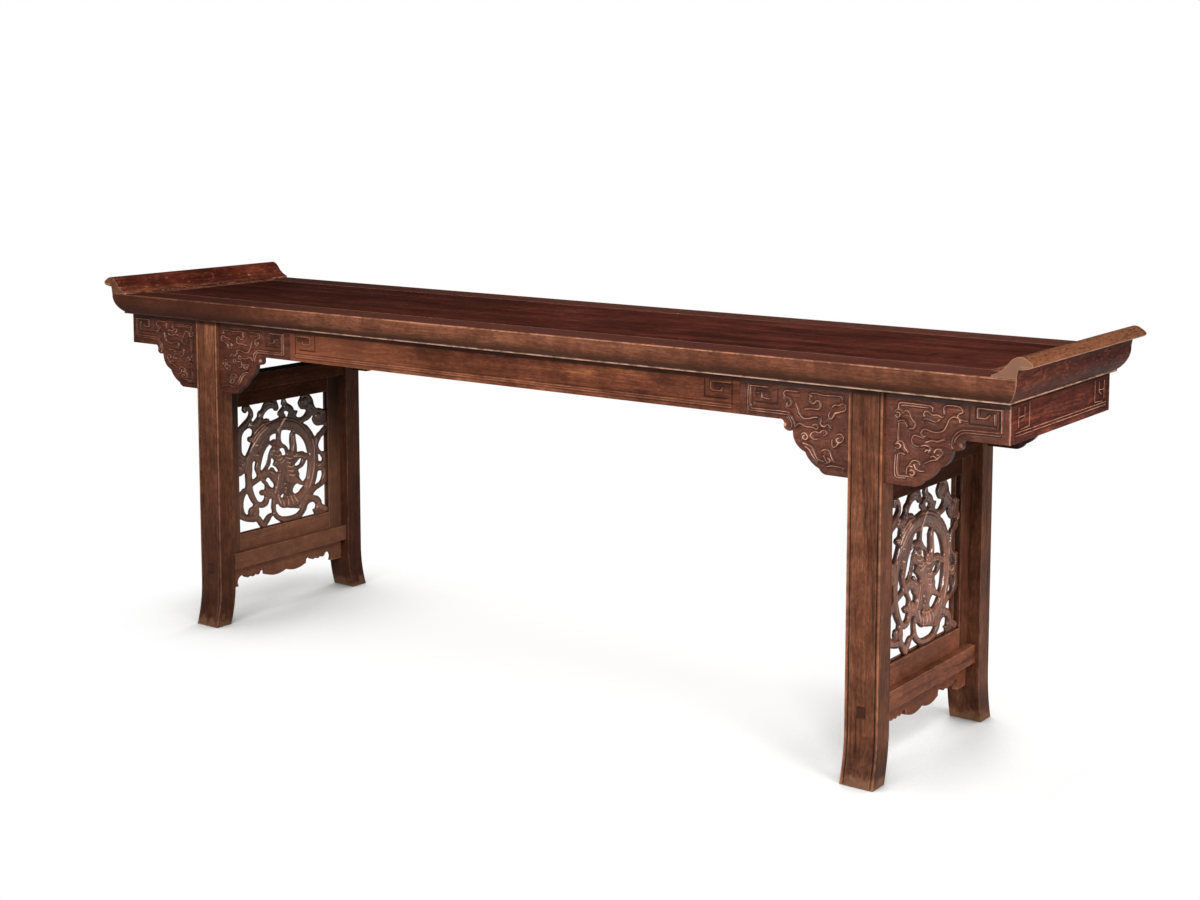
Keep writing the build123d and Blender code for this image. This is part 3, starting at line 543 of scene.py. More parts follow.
# Each wood: its grain, the dark, middle and light of its figure in screen values, and its ways.
WOODS = {
    "top": (
        "x", [(35, 11, 8), (70, 29, 20), (98, 48, 34)],
        {"marks": top_marks, "gloss": 0.5, "shine": 0.03, "figured": 1.15},
    ),
    "rail": (
        "x", [(58, 27, 19), (99, 59, 43), (136, 90, 66)],
        {"marks": rail_marks, "shine": 0.05, "worn": 0.4, "figured": 0.8},
    ),
    "flange": (
        "y", [(42, 14, 10), (82, 35, 24), (122, 68, 46)],
        {"marks": flange_marks, "shine": 0.05, "worn": 0.6, "patches": 1.6, "figured": 1.2},
    ),
    "apron": (
        "x", [(50, 22, 14), (97, 53, 36), (142, 86, 57)],
        {"marks": apron_marks, "carved": True, "worn": 0.8, "patches": 1.7},
    ),
    "spandrel": (
        "x", [(42, 19, 13), (82, 43, 31), (114, 68, 49)],
        {
            "marks": spandrel_marks, "carved": True, "worn": 0.9, "gloss": 0.18, "shine": 0.22,
            "figured": 0.8,
        },
    ),
    "end": (
        "y", [(32, 10, 8), (72, 29, 20), (116, 60, 43)],
        {"carved": True, "worn": 0.9, "patches": 1.8, "figured": 1.3},
    ),
    "leg": (
        "z", [(44, 23, 15), (89, 53, 37), (124, 80, 56)],
        {"marks": leg_marks, "worn": 0.4, "patches": 1.4},
    ),
    # A darker copy of the wood for the upper rails: painted shade under the top.
    "shaded_upper": (
        "y", [(28, 12, 7), (50, 26, 16), (72, 41, 27)], {"gloss": 0.45, "shine": 0.02, "worn": 0.3},
    ),
    "cross": (
        "y", [(58, 27, 17), (110, 64, 45), (146, 93, 66)],
        {"marks": cross_marks, "worn": 0.55, "figured": 0.85},
    ),
    "stile": (
        "z", [(42, 20, 13), (88, 51, 36), (126, 82, 58)],
        {"marks": cross_marks, "worn": 0.4, "figured": 1.2},
    ),
    "carving": (
        "z", [(52, 25, 18), (112, 67, 50), (150, 100, 76)],
        {
            "marks": cross_marks, "carved": True, "worn": 0.8, "gloss": 0.16, "shine": 0.5,
            "coat": 0.35,
        },
    ),
    "hidden": ("y", [(48, 26, 18), (78, 46, 32), (104, 66, 46)], {"gloss": 0.6, "worn": 0.3}),
}

# The wood of each CAD node, by how its name starts.
NODE_WOODS = {
    "top_rail": "rail", "top_end": "flange", "top_panel": "top", "batten": "hidden",
    "leg": "leg", "upper_rail": "shaded_upper", "stretcher": "cross", "screen_stile": "stile",
    "screen_rail_upper": "shaded_upper", "screen_rail_lower": "cross", "cusped_apron": "cross",
    "apron": "apron", "spandrel": "spandrel", "end_apron": "end", "carved_screen": "carving",
}

EDGE_ROUNDING = 0.0011
SAME_PLACE = 0.00001  # corners nearer than this are one corner


def make_woods():
    """Every wood of the table, by the part that it is on."""
    return {
        part: wood(f"{part}_wood", seed, grain, tones, **ways)
        for seed, (part, (grain, tones, ways)) in enumerate(WOODS.items(), 1)
    }


def dress_node(name, woods):
    """Give a CAD node its wood, and the small rounding that hands leave on its edges."""
    shown = nodes[name]
    start = max((s for s in NODE_WOODS if name.startswith(s)), key=len)
    for slot in shown.material_slots:
        slot.material = woods[NODE_WOODS[start]]
    weld = shown.modifiers.new("weld", "WELD")
    weld.merge_threshold = SAME_PLACE
    bevel = shown.modifiers.new("rounding", "BEVEL")
    bevel.width, bevel.segments, bevel.loop_slide = EDGE_ROUNDING, 2, False
    bevel.limit_method, bevel.angle_limit = "ANGLE", math.radians(35)
    shown.modifiers.new("shading", "WEIGHTED_NORMAL").keep_sharp = False


# ------------------------------------------------ drawing of the carving
# The openings of a screen, as (across, up) from its middle, seen from the right.
SCREEN_OPENINGS = [
    [(-172, 102), (-172, 172), (-143, 172), (-141, 155), (-135, 149), (-129, 148), (-125, 152),
     (-120, 151), (-118, 144), (-123, 136), (-134, 128), (-146, 120), (-154, 114)],
    [(-115, 172), (-65, 172), (-70, 157), (-75, 150), (-82, 147), (-87, 140), (-88, 133), (-95, 127),
     (-101, 122), (-108, 124), (-109, 128), (-104, 134), (-103, 144), (-106, 153)],
    [(-69, 126), (-63, 137), (-52, 145), (-40, 148), (-32, 146), (-26, 140), (-19, 139), (-13, 145),
     (-13, 154), (-19, 172), (1, 172), (-1, 155), (3, 148), (-5, 142), (-13, 134), (-14, 126),
     (-10, 121), (-25, 117), (-43, 115), (-48, 121), (-55, 124), (-63, 124)],
    [(9, 134), (18, 133), (25, 128), (24, 122), (20, 118), (14, 119), (12, 125), (8, 129)],
    [(18, 172), (69, 172), (63, 155), (61, 147), (65, 138), (72, 131), (82, 129), (91, 125), (85, 116),
     (76, 111), (67, 110), (57, 112), (53, 117), (58, 126), (56, 130), (45, 133), (41, 141), (33, 148),
     (23, 154), (17, 160)],
    [(106, 172), (172, 172), (172, 118), (152, 122), (139, 126), (130, 127), (122, 133), (119, 141),
     (117, 150), (112, 159)],
    [(79, 93), (97, 98), (106, 103), (114, 109), (116, 105), (113, 98), (116, 89), (123, 81), (131, 77),
     (144, 76), (159, 75), (150, 68), (141, 61), (131, 55), (124, 47), (119, 51), (109, 66), (100, 76),
     (91, 85)],
    [(172, 50), (150, 45), (142, 38), (136, 29), (134, 21), (138, 11), (146, 4), (154, 3), (172, 2)],
    [(133, -2), (141, -6), (146, -12), (150, -19), (147, -23), (140, -23), (134, -20), (133, -11)],
    [(131, -50), (145, -51), (148, -59), (146, -69), (140, -78), (130, -83), (119, -85), (123, -74),
     (127, -63)],
    [(172, -84), (172, -150), (150, -146), (144, -141), (142, -133), (135, -124), (127, -118),
     (119, -115), (111, -112), (119, -104), (127, -100), (140, -96), (155, -90)],
    [(60, -172), (113, -172), (112, -162), (110, -154), (119, -151), (121, -142), (114, -134),
     (105, -132), (95, -134), (88, -140), (85, -148), (78, -156), (68, -165)],
    [(-27, -115), (-18, -117), (-10, -125), (0, -130), (13, -131), (24, -134), (40, -137), (55, -141),
     (63, -143), (56, -149), (47, -153), (30, -155), (10, -154), (-8, -150), (-20, -142), (-27, -132),
     (-28, -122)],
    [(-62, -172), (-51, -155), (-44, -146), (-38, -144), (-31, -152), (-22, -159), (-12, -166),
     (-8, -172)],
    [(-50, -96), (-41, -98), (-42, -108), (-43, -121), (-41, -134), (-51, -135), (-61, -139),
     (-68, -146), (-73, -150), (-78, -146), (-84, -138), (-90, -132), (-89, -122), (-90, -113),
     (-80, -115), (-70, -115), (-59, -111), (-53, -103)],
    [(-172, -122), (-155, -132), (-140, -140), (-128, -144), (-110, -148), (-98, -149), (-92, -157),
     (-85, -166), (-81, -172), (-172, -172)],
    [(-134, -69), (-128, -70), (-123, -79), (-116, -91), (-108, -101), (-112, -105), (-119, -107),
     (-125, -113), (-128, -123), (-136, -121), (-142, -110), (-144, -95), (-141, -80)],
    [(-172, -19), (-153, -17), (-137, -12), (-134, -22), (-134, -48), (-143, -52), (-152, -58),
     (-172, -70)],
    [(-138, 36), (-144, 43), (-146, 53), (-146, 72), (-144, 89), (-138, 98), (-129, 104), (-120, 106),
     (-112, 103), (-106, 96), (-107, 88), (-112, 84), (-119, 84), (-123, 80), (-123, 73), (-118, 68),
     (-112, 65), (-117, 54), (-125, 41), (-131, 35)],
    [(-103, 16), (-97, 10), (-100, -1), (-99, -9), (-96, -18), (-93, -26), (-101, -31), (-110, -32),
     (-112, -21), (-110, -8), (-110, 5), (-108, 12)],
    [(-49, 51), (-40, 47), (-38, 44), (-45, 37), (-51, 25), (-55, 13), (-59, 3), (-65, -6), (-73, -13),
     (-80, -11), (-80, -1), (-75, 15), (-69, 29), (-60, 42)],
    [(-42, 14), (-34, 10), (-30, 3), (-34, -3), (-33, -8), (-26, -13), (-20, -19), (-16, -25),
     (-21, -28), (-28, -22), (-34, -14), (-42, -11), (-48, -17), (-54, -13), (-49, -7), (-44, 2)],
    [(-46, 59), (-38, 62), (-30, 64), (-22, 62), (-21, 69), (-21, 77), (-31, 78), (-39, 76), (-45, 72),
     (-46, 66)],
    [(-1, 83), (15, 82), (26, 79), (35, 76), (30, 70), (28, 59), (28, 45), (29, 32), (26, 25), (21, 28),
     (18, 34), (11, 41), (2, 47), (-4, 54), (-6, 63), (-5, 75)],
    [(49, 66), (61, 61), (72, 52), (82, 39), (89, 25), (92, 15), (94, 7), (86, 9), (75, 15), (65, 16),
     (56, 16), (53, 20), (53, 31), (51, 44), (49, 55)],
    [(-13, 32), (-8, 35), (0, 35), (8, 30), (11, 22), (11, 15), (2, 15), (-4, 17), (-5, 24), (-9, 29)],
    [(70, -3), (62, -4), (53, -10), (43, -18), (48, -21), (58, -21), (65, -17), (69, -10)],
    [(91, -11), (94, -16), (93, -33), (90, -48), (86, -61), (78, -68), (72, -67), (64, -60), (60, -52),
     (61, -45), (57, -36), (60, -32), (68, -30), (77, -25), (83, -18), (87, -12)],
    [(45, -73), (52, -71), (62, -76), (72, -79), (75, -82), (68, -87), (59, -94), (50, -97), (42, -97),
     (36, -91), (35, -85), (39, -78)],
    [(-63, -43), (-57, -37), (-50, -39), (-43, -47), (-36, -54), (-32, -62), (-35, -67), (-43, -65),
     (-50, -60), (-54, -54), (-58, -48)],
    [(-110, -53), (-101, -48), (-90, -44), (-82, -41), (-77, -43), (-73, -49), (-67, -54), (-65, -62),
     (-68, -67), (-77, -66), (-84, -70), (-84, -77), (-78, -82), (-71, -82), (-67, -87), (-69, -93),
     (-76, -98), (-84, -98), (-93, -93), (-100, -83), (-106, -69)],
    [(-11, -95), (-4, -91), (2, -90), (3, -95), (-2, -101), (-8, -99)],
]
SCREEN_HALF = (164.5, 169.0)  # half of the opening of the frame that they are drawn for

# Strokes of its relief, as (across, up, half width): the dragon's body round the middle, its
# limbs and crest, and the clouds.
DRAGON_BODY = [
    (-128, -20, 9), (-127, 10, 10), (-122, 30, 14), (-105, 60, 22), (-80, 85, 24), (-45, 99, 20),
    (0, 102, 17), (40, 93, 16), (70, 72, 16), (92, 42, 16), (103, 5, 16), (104, -30, 16), (98, -62, 16),
    (84, -90, 17), (60, -108, 17), (30, -114, 17), (0, -110, 16), (-28, -98, 14), (-48, -80, 12),
]
DRAGON_LIMBS = [
    [(-128, -20, 9), (-124, -50, 9), (-113, -78, 9), (-97, -98, 8), (-80, -103, 8), (-66, -97, 8),
     (-62, -86, 7), (-68, -78, 6)],
    [(-25, 35, 14), (-35, 20, 12), (-10, 12, 16), (5, -8, 20), (18, -28, 20), (28, -48, 16),
     (45, -60, 9), (65, -70, 6), (85, -68, 6)],
    [(-30, 0, 10), (-18, -25, 10), (-30, -45, 12), (-34, -62, 12), (-40, -75, 12)],
    [(34, 76, 10), (33, 58, 9), (34, 40, 9), (30, 22, 10), (20, 8, 12)],
    [(-94, 32, 8), (-94, 15, 8), (-94, 0, 8), (-93, -15, 8), (-90, -28, 8)],
]
CLOUD_SCROLLS = [
    [(-165, 110, 6), (-148, 118, 7), (-133, 127, 7), (-121, 139, 8), (-117, 152, 7), (-124, 161, 6),
     (-136, 164, 5)],
    [(-162, 110, 5), (-160, 90, 5), (-161, 60, 5), (-158, 45, 5), (-150, 35, 5), (-140, 30, 5)],
    [(-105, 95, 6), (-110, 84, 6), (-118, 76, 6)],
    [(-95, 118, 14), (-86, 135, 12), (-74, 152, 13), (-55, 162, 10), (-40, 160, 9)],
    [(-80, 120, 5), (-66, 123, 5), (-57, 121, 5)],
    [(-16, 118, 7), (-17, 132, 8), (-8, 144, 8), (6, 147, 8), (20, 142, 8), (30, 134, 7), (40, 130, 5),
     (48, 131, 2)],
    [(2, 168, 10), (4, 150, 12)],
    [(100, 135, 14), (118, 122, 14)],
    [(150, 118, 12), (165, 122, 12)],
    [(90, 130, 8), (80, 112, 8), (66, 100, 6)],
    [(112, 46, 5), (124, 53, 6), (138, 64, 7), (150, 74, 8), (165, 80, 8)],
    [(128, 48, 4), (126, 35, 4), (124, 24, 4), (127, 12, 4), (135, 3, 4), (148, -2, 6), (165, 0, 6)],
    [(150, -5, 6), (148, -25, 7), (140, -40, 6)],
    [(150, -45, 6), (149, -62, 6), (142, -75, 6), (128, -84, 6), (112, -92, 6), (98, -102, 6)],
    [(84, -112, 10), (104, -117, 9), (120, -127, 10), (128, -140, 10), (124, -152, 8), (112, -152, 6),
     (104, -155, 4)],
    [(140, -150, 10), (155, -158, 10)],
    [(-42, -92, 7), (-41, -112, 7), (-37, -130, 8), (-24, -147, 8), (-4, -158, 8), (25, -160, 8),
     (45, -155, 8), (60, -145, 9), (70, -132, 9), (80, -120, 9)],
    [(-47, -137, 5), (-60, -136, 6), (-68, -143, 6), (-72, -153, 5), (-76, -165, 6)],
    [(-100, -128, 9), (-95, -140, 9), (-86, -152, 9), (-78, -166, 10)],
    [(-165, -118, 8), (-150, -128, 8), (-132, -134, 8), (-112, -136, 8), (-98, -130, 8), (-95, -116, 7),
     (-103, -104, 6)],
    [(-162, -60, 6), (-158, -90, 6), (-160, -110, 7)],
    [(-165, -62, 5), (-152, -54, 6), (-140, -47, 6), (-130, -42, 6)],
    [(-165, 30, 6), (-150, 24, 6), (-140, 15, 6), (-148, 0, 6)],
    [(-44, 47, 6), (-54, 38, 8), (-60, 20, 8), (-66, 5, 8), (-74, -10, 7)],
    [(-55, 50, 5), (-40, 57, 8), (-24, 56, 9), (-8, 46, 8), (2, 34, 7), (9, 22, 6)],
    [(-14, 97, 6), (-19, 82, 6), (-20, 68, 7), (-20, 58, 7)],
    [(42, 10, 8), (60, 9, 8), (78, 2, 8), (92, -5, 8)],
    [(36, -22, 5), (52, -22, 6), (66, -14, 6), (72, -2, 5)],
    [(-122, -40, 5), (-105, -33, 6), (-88, -27, 8), (-65, -22, 9), (-45, -28, 9), (-32, -42, 9)],
    [(-84, -33, 5), (-70, -46, 6), (-65, -62, 6), (-66, -76, 7), (-64, -90, 6)],
    [(-66, -72, 8), (-48, -72, 9), (-35, -85, 10)],
]
# Curled ends and beads, as (across, up, radius).
SCROLL_CURLS = [
    (-139, 158, 7), (-108, 112, 14), (-124, 79, 8), (-30, 153, 10), (82, 152, 23), (131, 104, 21),
    (-114, -113, 14), (-152, 4, 7), (-48, -20, 9), (-83, -71, 8), (-97, 55, 9), (-80, 50, 8),
]
SCROLL_BEADS = [
    (-101, 128, 7), (-91, 143, 9), (-77, 155, 9), (25, 122, 6), (132, -32, 9), (-161, 16, 5),
    (-99, 28, 6), (-102, 8, 6), (-99, -12, 6), (6, -64, 5), (10, -76, 5), (7, -85, 5), (3, -93, 4),
]
# Fine ridges: the mane, the comb inside the neck, the face, the torso and the pleated skirt.
SCREEN_RIDGES = [
    [(-72, 112), (-95, 99), (-114, 80), (-130, 60), (-143, 44)],
    [(-66, 106), (-90, 92), (-109, 74), (-125, 54), (-136, 38)],
    [(-60, 100), (-85, 86), (-104, 67), (-119, 48), (-128, 34)],
    [(22, 124), (2, 114), (-12, 99), (-20, 82), (-23, 64)],
    [(14, 118), (-4, 106), (-14, 90), (-17, 76)],
    [(-104, 60), (-93, 57)],
    [(-105, 34), (-92, 30)],
    [(-108, 10), (-96, 7)],
    [(-108, -12), (-97, -9)],
    [(-50, 78), (-42, 70), (-34, 66)],
    [(-62, 42), (-74, 20), (-84, -4)],
    [(-54, 40), (-66, 18), (-76, -8)],
    [(-36, 34), (-26, 30), (-16, 33)],
    [(-40, 6), (-28, 10), (-16, 6), (-6, 10)],
    [(-22, -2), (-10, -3), (0, 3)],
    [(-58, -2), (-46, -12), (-36, -20), (-24, -24)],
    [(-62, -12), (-48, -22), (-34, -30)],
    [(-34, 22), (-22, 18), (-10, 20)],
    [(6, 10), (20, 4), (34, 4), (48, 10)],
    [(10, -4), (24, -8), (38, -6)],
    [(14, -16), (28, -20), (40, -16)],
    [(16, -28), (30, -32), (44, -28)],
    [(18, -40), (32, -44), (44, -42)],
    [(24, 62), (27, 44), (24, 28)],
    [(34, 62), (37, 44), (33, 26)],
    [(44, 4), (62, 4), (78, -4)],
    [(-20, -30), (-22, -48), (-27, -66), (-34, -80)],
    [(-12, -32), (-14, -52), (-18, -72), (-22, -92)],
    [(-2, -34), (-4, -52), (-7, -70)],
    [(-26, -88), (-20, -104), (-12, -118)],
    [(-8, -104), (-4, -116), (0, -126)],
    [(10, -98), (12, -112), (14, -124)],
    [(22, -94), (26, -108), (30, -122)],
    [(34, -98), (40, -110), (46, -118)],
    [(108, 44), (113, 10), (112, -24), (104, -58), (92, -86)],
    [(-134, 104), (-122, 112), (-110, 124), (-98, 136)],
    [(128, -34), (136, -30)],
    [(126, -46), (136, -42)],
]
RIDGE_HALF = 2.6
GROOVE_DEPTH = 6.0  # how far the openwork goes into the groove of its frame
RIM, RIM_HALF = 6.5, 4.2  # width and half thickness of its thin rim
SCROLL_EDGE = 6.5  # from an opening to the full height of the scrolls
CARVING_LOW, CARVING_RISE = 1.4, 6.9  # half thickness at an opening, and what the relief adds
SCREEN_PITCH, SCREEN_REACH = 1.2, 8.0  # grid of the openwork, and how deep it is measured


# ------------------------------------------------------------- sculpting
def curve(points, closed=False, steps=5):
    """Points along a smooth curve through points, with every column that they have."""
    given = np.array(points, float)
    if closed:
        ring = np.vstack([given[-1:], given, given[:2]])
    else:
        ring = np.vstack([2 * given[:1] - given[1:2], given, 2 * given[-1:] - given[-2:-1]])
    t = (np.arange(steps) / steps)[:, None]
    runs = []
    for before, start, end, after in zip(ring[:-3], ring[1:-2], ring[2:-1], ring[3:]):
        runs.append(
            start
            + 0.5 * t * (end - before)
            + t**2 * (before - 2.5 * start + 2 * end - 0.5 * after)
            + t**3 * (1.5 * start - 0.5 * before - 1.5 * end + 0.5 * after)
        )
    if not closed:
        runs.append(given[-1:])
    return np.vstack(runs)


def to_loop(points, loop):
    """Nearest place on a closed loop to each point, its distance, and whether it is inside."""
    ends = np.roll(loop, -1, 0)
    span = ends - loop
    long = np.maximum((span**2).sum(1), 1e-12)
    places, gaps, within = [], [], []
    for part in np.array_split(points, max(1, len(points) * len(loop) // 3_000_000)):
        away = part[:, None] - loop
        t = np.clip((away * span).sum(2) / long, 0, 1)
        feet = loop + t[..., None] * span
        gap = ((part[:, None] - feet) ** 2).sum(2)
        best = gap.argmin(1)
        rows = np.arange(len(part))
        places.append(feet[rows, best])
        gaps.append(np.sqrt(gap[rows, best]))
        px, py = part[:, :1], part[:, 1:]
        crosses = (loop[:, 1] > py) != (ends[:, 1] > py)
        rise = np.where(span[:, 1] == 0, 1e-12, span[:, 1])
        at = loop[:, 0] + (py - loop[:, 1]) / rise * span[:, 0]
        within.append((crosses & (px < at)).sum(1) % 2 == 1)
    return np.vstack(places), np.concatenate(gaps), np.concatenate(within)


def grid_lines(low, high, pitch, coarse):
    """Even steps from low to high, with wider steps in each coarse run of (start, end, step)."""
    stops = [(low, pitch)]
    for start, end, wide in coarse:
        stops += [(start, wide), (end, pitch)]
    stops.append((high, pitch))
    lines = [
        np.linspace(start, end, max(1, round((end - start) / gap)), endpoint=False)
        for (start, gap), (end, _) in zip(stops, stops[1:])
    ]
    return np.concatenate(lines + [[high]])


def depth_inside(places, outer, holes, reach):
    """How deep each place lies in a plate with holes, up to reach, and the nearest edge to it."""
    margin = np.full(len(places), float(reach))
    foot = places.copy()
    for loop, side in [(outer, 1)] + [(hole, -1) for hole in holes]:
        close = (places > loop.min(0) - reach) & (places < loop.max(0) + reach)
        near = np.flatnonzero(close.all(1))
        place, gap, within = to_loop(places[near], loop)
        signed = np.where(within, gap, -gap) * side
        better = signed < margin[near]
        margin[near[better]] = signed[better]
        foot[near[better]] = place[better]
    return margin, foot


def cut_plate(outer, holes, pitch, reach, coarse=()):
    """A grid cut along an outline and its holes: places, how deep each lies inside, and faces."""
    low, high = outer.min(0), outer.max(0)
    lines = [grid_lines(low[0], high[0], pitch, coarse), grid_lines(low[1], high[1], pitch, ())]
    places = np.stack(np.meshgrid(*lines, indexing="ij"), -1).reshape(-1, 2)
    drawn, foot = depth_inside(places, outer, holes, reach)
    snap = np.abs(drawn) < 0.5 * pitch
    places[snap] = foot[snap]
    margin = np.where(snap, 0, drawn)
    number = np.arange(len(places)).reshape(len(lines[0]), len(lines[1]))
    cells = np.stack([number[:-1, :-1], number[1:, :-1], number[1:, 1:], number[:-1, 1:]], -1)
    cells = cells.reshape(-1, 4)
    held = margin[cells] >= 0
    quads = cells[held.all(1) & (drawn[cells].mean(1) > 0)]
    corner = cells[(held.sum(1) == 3) & (margin[cells].max(1) > 0)]
    triangles = corner[margin[corner] >= 0].reshape(-1, 3)
    return places, margin, [quads, triangles]


def used_only(faces):
    """The vertices that faces use, and the same faces with only those numbered."""
    used = np.unique(np.concatenate([f.ravel() for f in faces]))
    return used, [np.searchsorted(used, f) for f in faces]


def open_edges(faces):
    """Directed edges that only one face has."""
    starts = np.concatenate([f.ravel() for f in faces])
    ends = np.concatenate([np.roll(f, -1, 1).ravel() for f in faces])
    most = max(starts.max(), ends.max()) + 1
    lonely = ~np.isin(starts * most + ends, ends * most + starts)
    return np.stack([starts[lonely], ends[lonely]], 1)


def chained(edges):
    """The vertices of one closed run of directed edges, in order."""
    after = dict(edges.tolist())
    loop = [int(edges[0, 0])]
    while after[loop[-1]] != loop[0]:
        loop.append(after[loop[-1]])
    return loop


def add_piece(name, places, faces, relief, material, node_name):
    """A smooth mesh in place of a CAD node, from faces of several sizes, with its relief kept."""
    mesh = bpy.data.meshes.new(name)
    mesh.from_pydata((places * MM).tolist(), [], [f for group in faces for f in group])
    mesh.polygons.foreach_set("use_smooth", np.ones(len(mesh.polygons), bool))
    # The tint of the carving, kept as relief: worn lines with painted highlights, and grime with painted
    # shade.
    kept = mesh.attributes.new("relief", "FLOAT", "POINT")
    kept.data.foreach_set("value", relief.astype(np.float32))
    mesh.materials.append(material)
    made = add_object(name, mesh)
    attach(made, "root")
    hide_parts(node_name)


def stroke(points, path):
    """How far each point is across a stroke: 0 on its line, 1 at its side, 9 well outside."""
    far = np.full(len(points), 9.0)
    reach = 2.5 * path[:, 2].max()
    close = (points > path[:, :2].min(0) - reach) & (points < path[:, :2].max(0) + reach)
    near = np.flatnonzero(close.all(1))
    part = points[near]
    best = np.full(len(near), 9.0)
    if len(path) == 1:
        best = np.linalg.norm(part - path[0, :2], axis=1) / path[0, 2]
    for start, end in zip(path[:-1], path[1:]):
        span = end[:2] - start[:2]
        t = np.clip((part - start[:2]) @ span / max(span @ span, 1e-9), 0, 1)
        gap = np.linalg.norm(part - start[:2] - t[:, None] * span, axis=1)
        best = np.minimum(best, gap / (start[2] + t * (end[2] - start[2])))
    far[near] = best
    return far


def nearest_line(points, paths, half_width, smooth=True):
    """How far each point is from the nearest of some fine lines, in half widths of them."""
    nearest = np.full(len(points), 9.0)
    for path in paths:
        wide = np.array([(*place, half_width) for place in path], float)
        nearest = np.minimum(nearest, stroke(points, curve(wide) if smooth else wide))
    return nearest


def rounded(across):
    """Height of a half round, from 1 on its line to 0 at its side."""
    return np.sqrt(np.clip(1 - across**2, 0, 1))


def bump(across, middle, width):
    """A smooth bump: 1 at its middle, and near 0 at twice its width from there."""
    return np.exp(-(((across - middle) / width) ** 2))


# -------------------------------------------------------- carved screens
def screen_relief(points, margin):
    """Height of the carving over its middle plane, and its tint from 0 to 1: lighter on rims, ridges and
    curls as painted highlights, darker in low parts as painted shade.
    """
    field = np.zeros(len(points))
    polish_and_highlight = np.zeros(len(points))
    for path in CLOUD_SCROLLS:
        across = stroke(points, curve(path))
        field = np.maximum(field, 0.80 * rounded(across) * (1 - 0.25 * bump(across, 0, 0.2)))
    for path in DRAGON_LIMBS:
        across = stroke(points, curve(path))
        rim = bump(across, 0.6, 0.2)
        field = np.maximum(field, rounded(across) * (0.72 + 0.25 * rim))
        polish_and_highlight = np.maximum(polish_and_highlight, 0.5 * rim)
    for round_end in SCROLL_CURLS:
        across = stroke(points, np.array([round_end], float))
        ring = 0.42 * bump(across, 0.55, 0.16)
        field = np.maximum(field, 0.90 * rounded(across) - ring * (across < 1))
        polish_and_highlight = np.maximum(polish_and_highlight, 0.5 * bump(across, 0.25, 0.18))
    for bead in SCROLL_BEADS:
        field = np.maximum(field, 0.85 * rounded(stroke(points, np.array([bead], float))))
    body = stroke(points, curve(DRAGON_BODY))
    field = np.maximum(field, rounded(body) ** 0.7 * (0.95 - 0.42 * bump(body, 0.60, 0.10)))
    polish_and_highlight = np.maximum(polish_and_highlight, 0.8 * bump(body, 0.80, 0.09))
    fine = np.exp(-1.3 * nearest_line(points, SCREEN_RIDGES, RIDGE_HALF) ** 2)
    field = np.minimum(0.92 * field + 0.34 * fine, 1.05)
    polish_and_highlight = np.maximum(polish_and_highlight, 0.9 * fine)
    edge = rounded(1 - np.clip(margin / SCROLL_EDGE, 0, 1))
    relief = edge * (0.22 + 0.74 * field)
    # Painted highlights on rims and ridges, painted shade where the relief is low.
    tint = np.clip(0.30 + 0.48 * relief + 0.32 * polish_and_highlight * edge, 0, 1)
    return CARVING_LOW + CARVING_RISE * relief, tint


def add_screens(material):
    """The two openwork screens, carved on both faces, with a thin rim in the groove of the frame."""
    span = (screen_high - screen_low) / 2
    middle = (screen_high + screen_low) / 2 / MM
    half = np.array([span.y, span.z]) / MM
    scale = (half - GROOVE_DEPTH) / np.array(SCREEN_HALF)
    outer = np.array([(-1, -1), (1, -1), (1, 1), (-1, 1)]) * half
    holes = [curve(points, True) * scale for points in SCREEN_OPENINGS]
    places, margin, faces = cut_plate(outer, holes, SCREEN_PITCH, SCREEN_REACH)
    height, tint = screen_relief(places / scale, margin)
    in_rim = (np.abs(places) > half - RIM).any(1)
    height = np.where(in_rim, np.minimum(height, RIM_HALF), height)
    used, front = used_only(faces)
    a, b = open_edges(front).T
    walls = np.stack([a + len(used), b + len(used), b, a], 1)
    back = [f[:, ::-1] + len(used) for f in front]
    groups = [f.tolist() for f in front + back + [walls]]
    tints = np.concatenate([tint[used]] * 2)
    y, z = places[used].T
    for side, sign in SIDES:
        both = [np.stack([middle.x * sign + h, y, z + middle.z], 1) for h in (height[used], -height[used])]
        add_piece(
            f"openwork_{side}", np.vstack(both), groups, tints, material,
            f"carved_screen_{side}",
        )


# ------------------------------------------------- drawing of the boards
# Places on the right front boards are (x, z), as the CAD has them.
JOINT_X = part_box("spandrel_front_right")[0].x / MM  # from the middle apron to the spandrel
END_X, END_Y = BOARD_X / MM, BOARD_Y / MM
APRON_Z, UNDER_Z = apron_low.z / MM, FRAME_Z / MM
BOARD_THICK = (apron_high.y - apron_low.y) / MM
LEG_MIDDLE = LEG_X / MM
# Lower edge of a spandrel, as (back from the tip of its hook, down from the apron): arcs from
# each even point over the next.
SPANDREL_EDGE = [
    (-12, 0), (-3, 3), (-2, 10), (-2, 14), (0, 18), (8, 22), (19, 20), (27, 46), (48, 61), (62, 80),
    (80, 91), (87, 99), (98, 102),
]
INNER_HOOK, OUTER_HOOK = 188.0, 198.0  # middle of the leg to the tips of the hooks
BOARD_PITCH, PLAIN_PITCH = 0.85, 8.0  # grid of the carved boards, and where they are plain
HIDDEN_PITCH = 12.0  # grid behind a leg
BOARD_REACH = 12.0  # how far in from its outline a board is measured
ROUND_IN, ROUND_DOWN = 1.6, 0.9  # rounding of its edges, in from the outline and down the face
RELIEF_IN = 3.0  # from the outline to the full relief
# The sides and back of a board are painted dark, as shade.
BACK_SHADE_TINT = 0.3
SHADOW_LINE = 784.0  # above this the boards are painted dark, as the shadow under the top
END_SHADOW_LINE = 790.0
FRET_LENGTH = 94.0  # square scroll at an end of an apron
LINE_HALF, FRET_HALF = 1.5, 1.6  # half widths of the fine lines and grooves, and of the frets

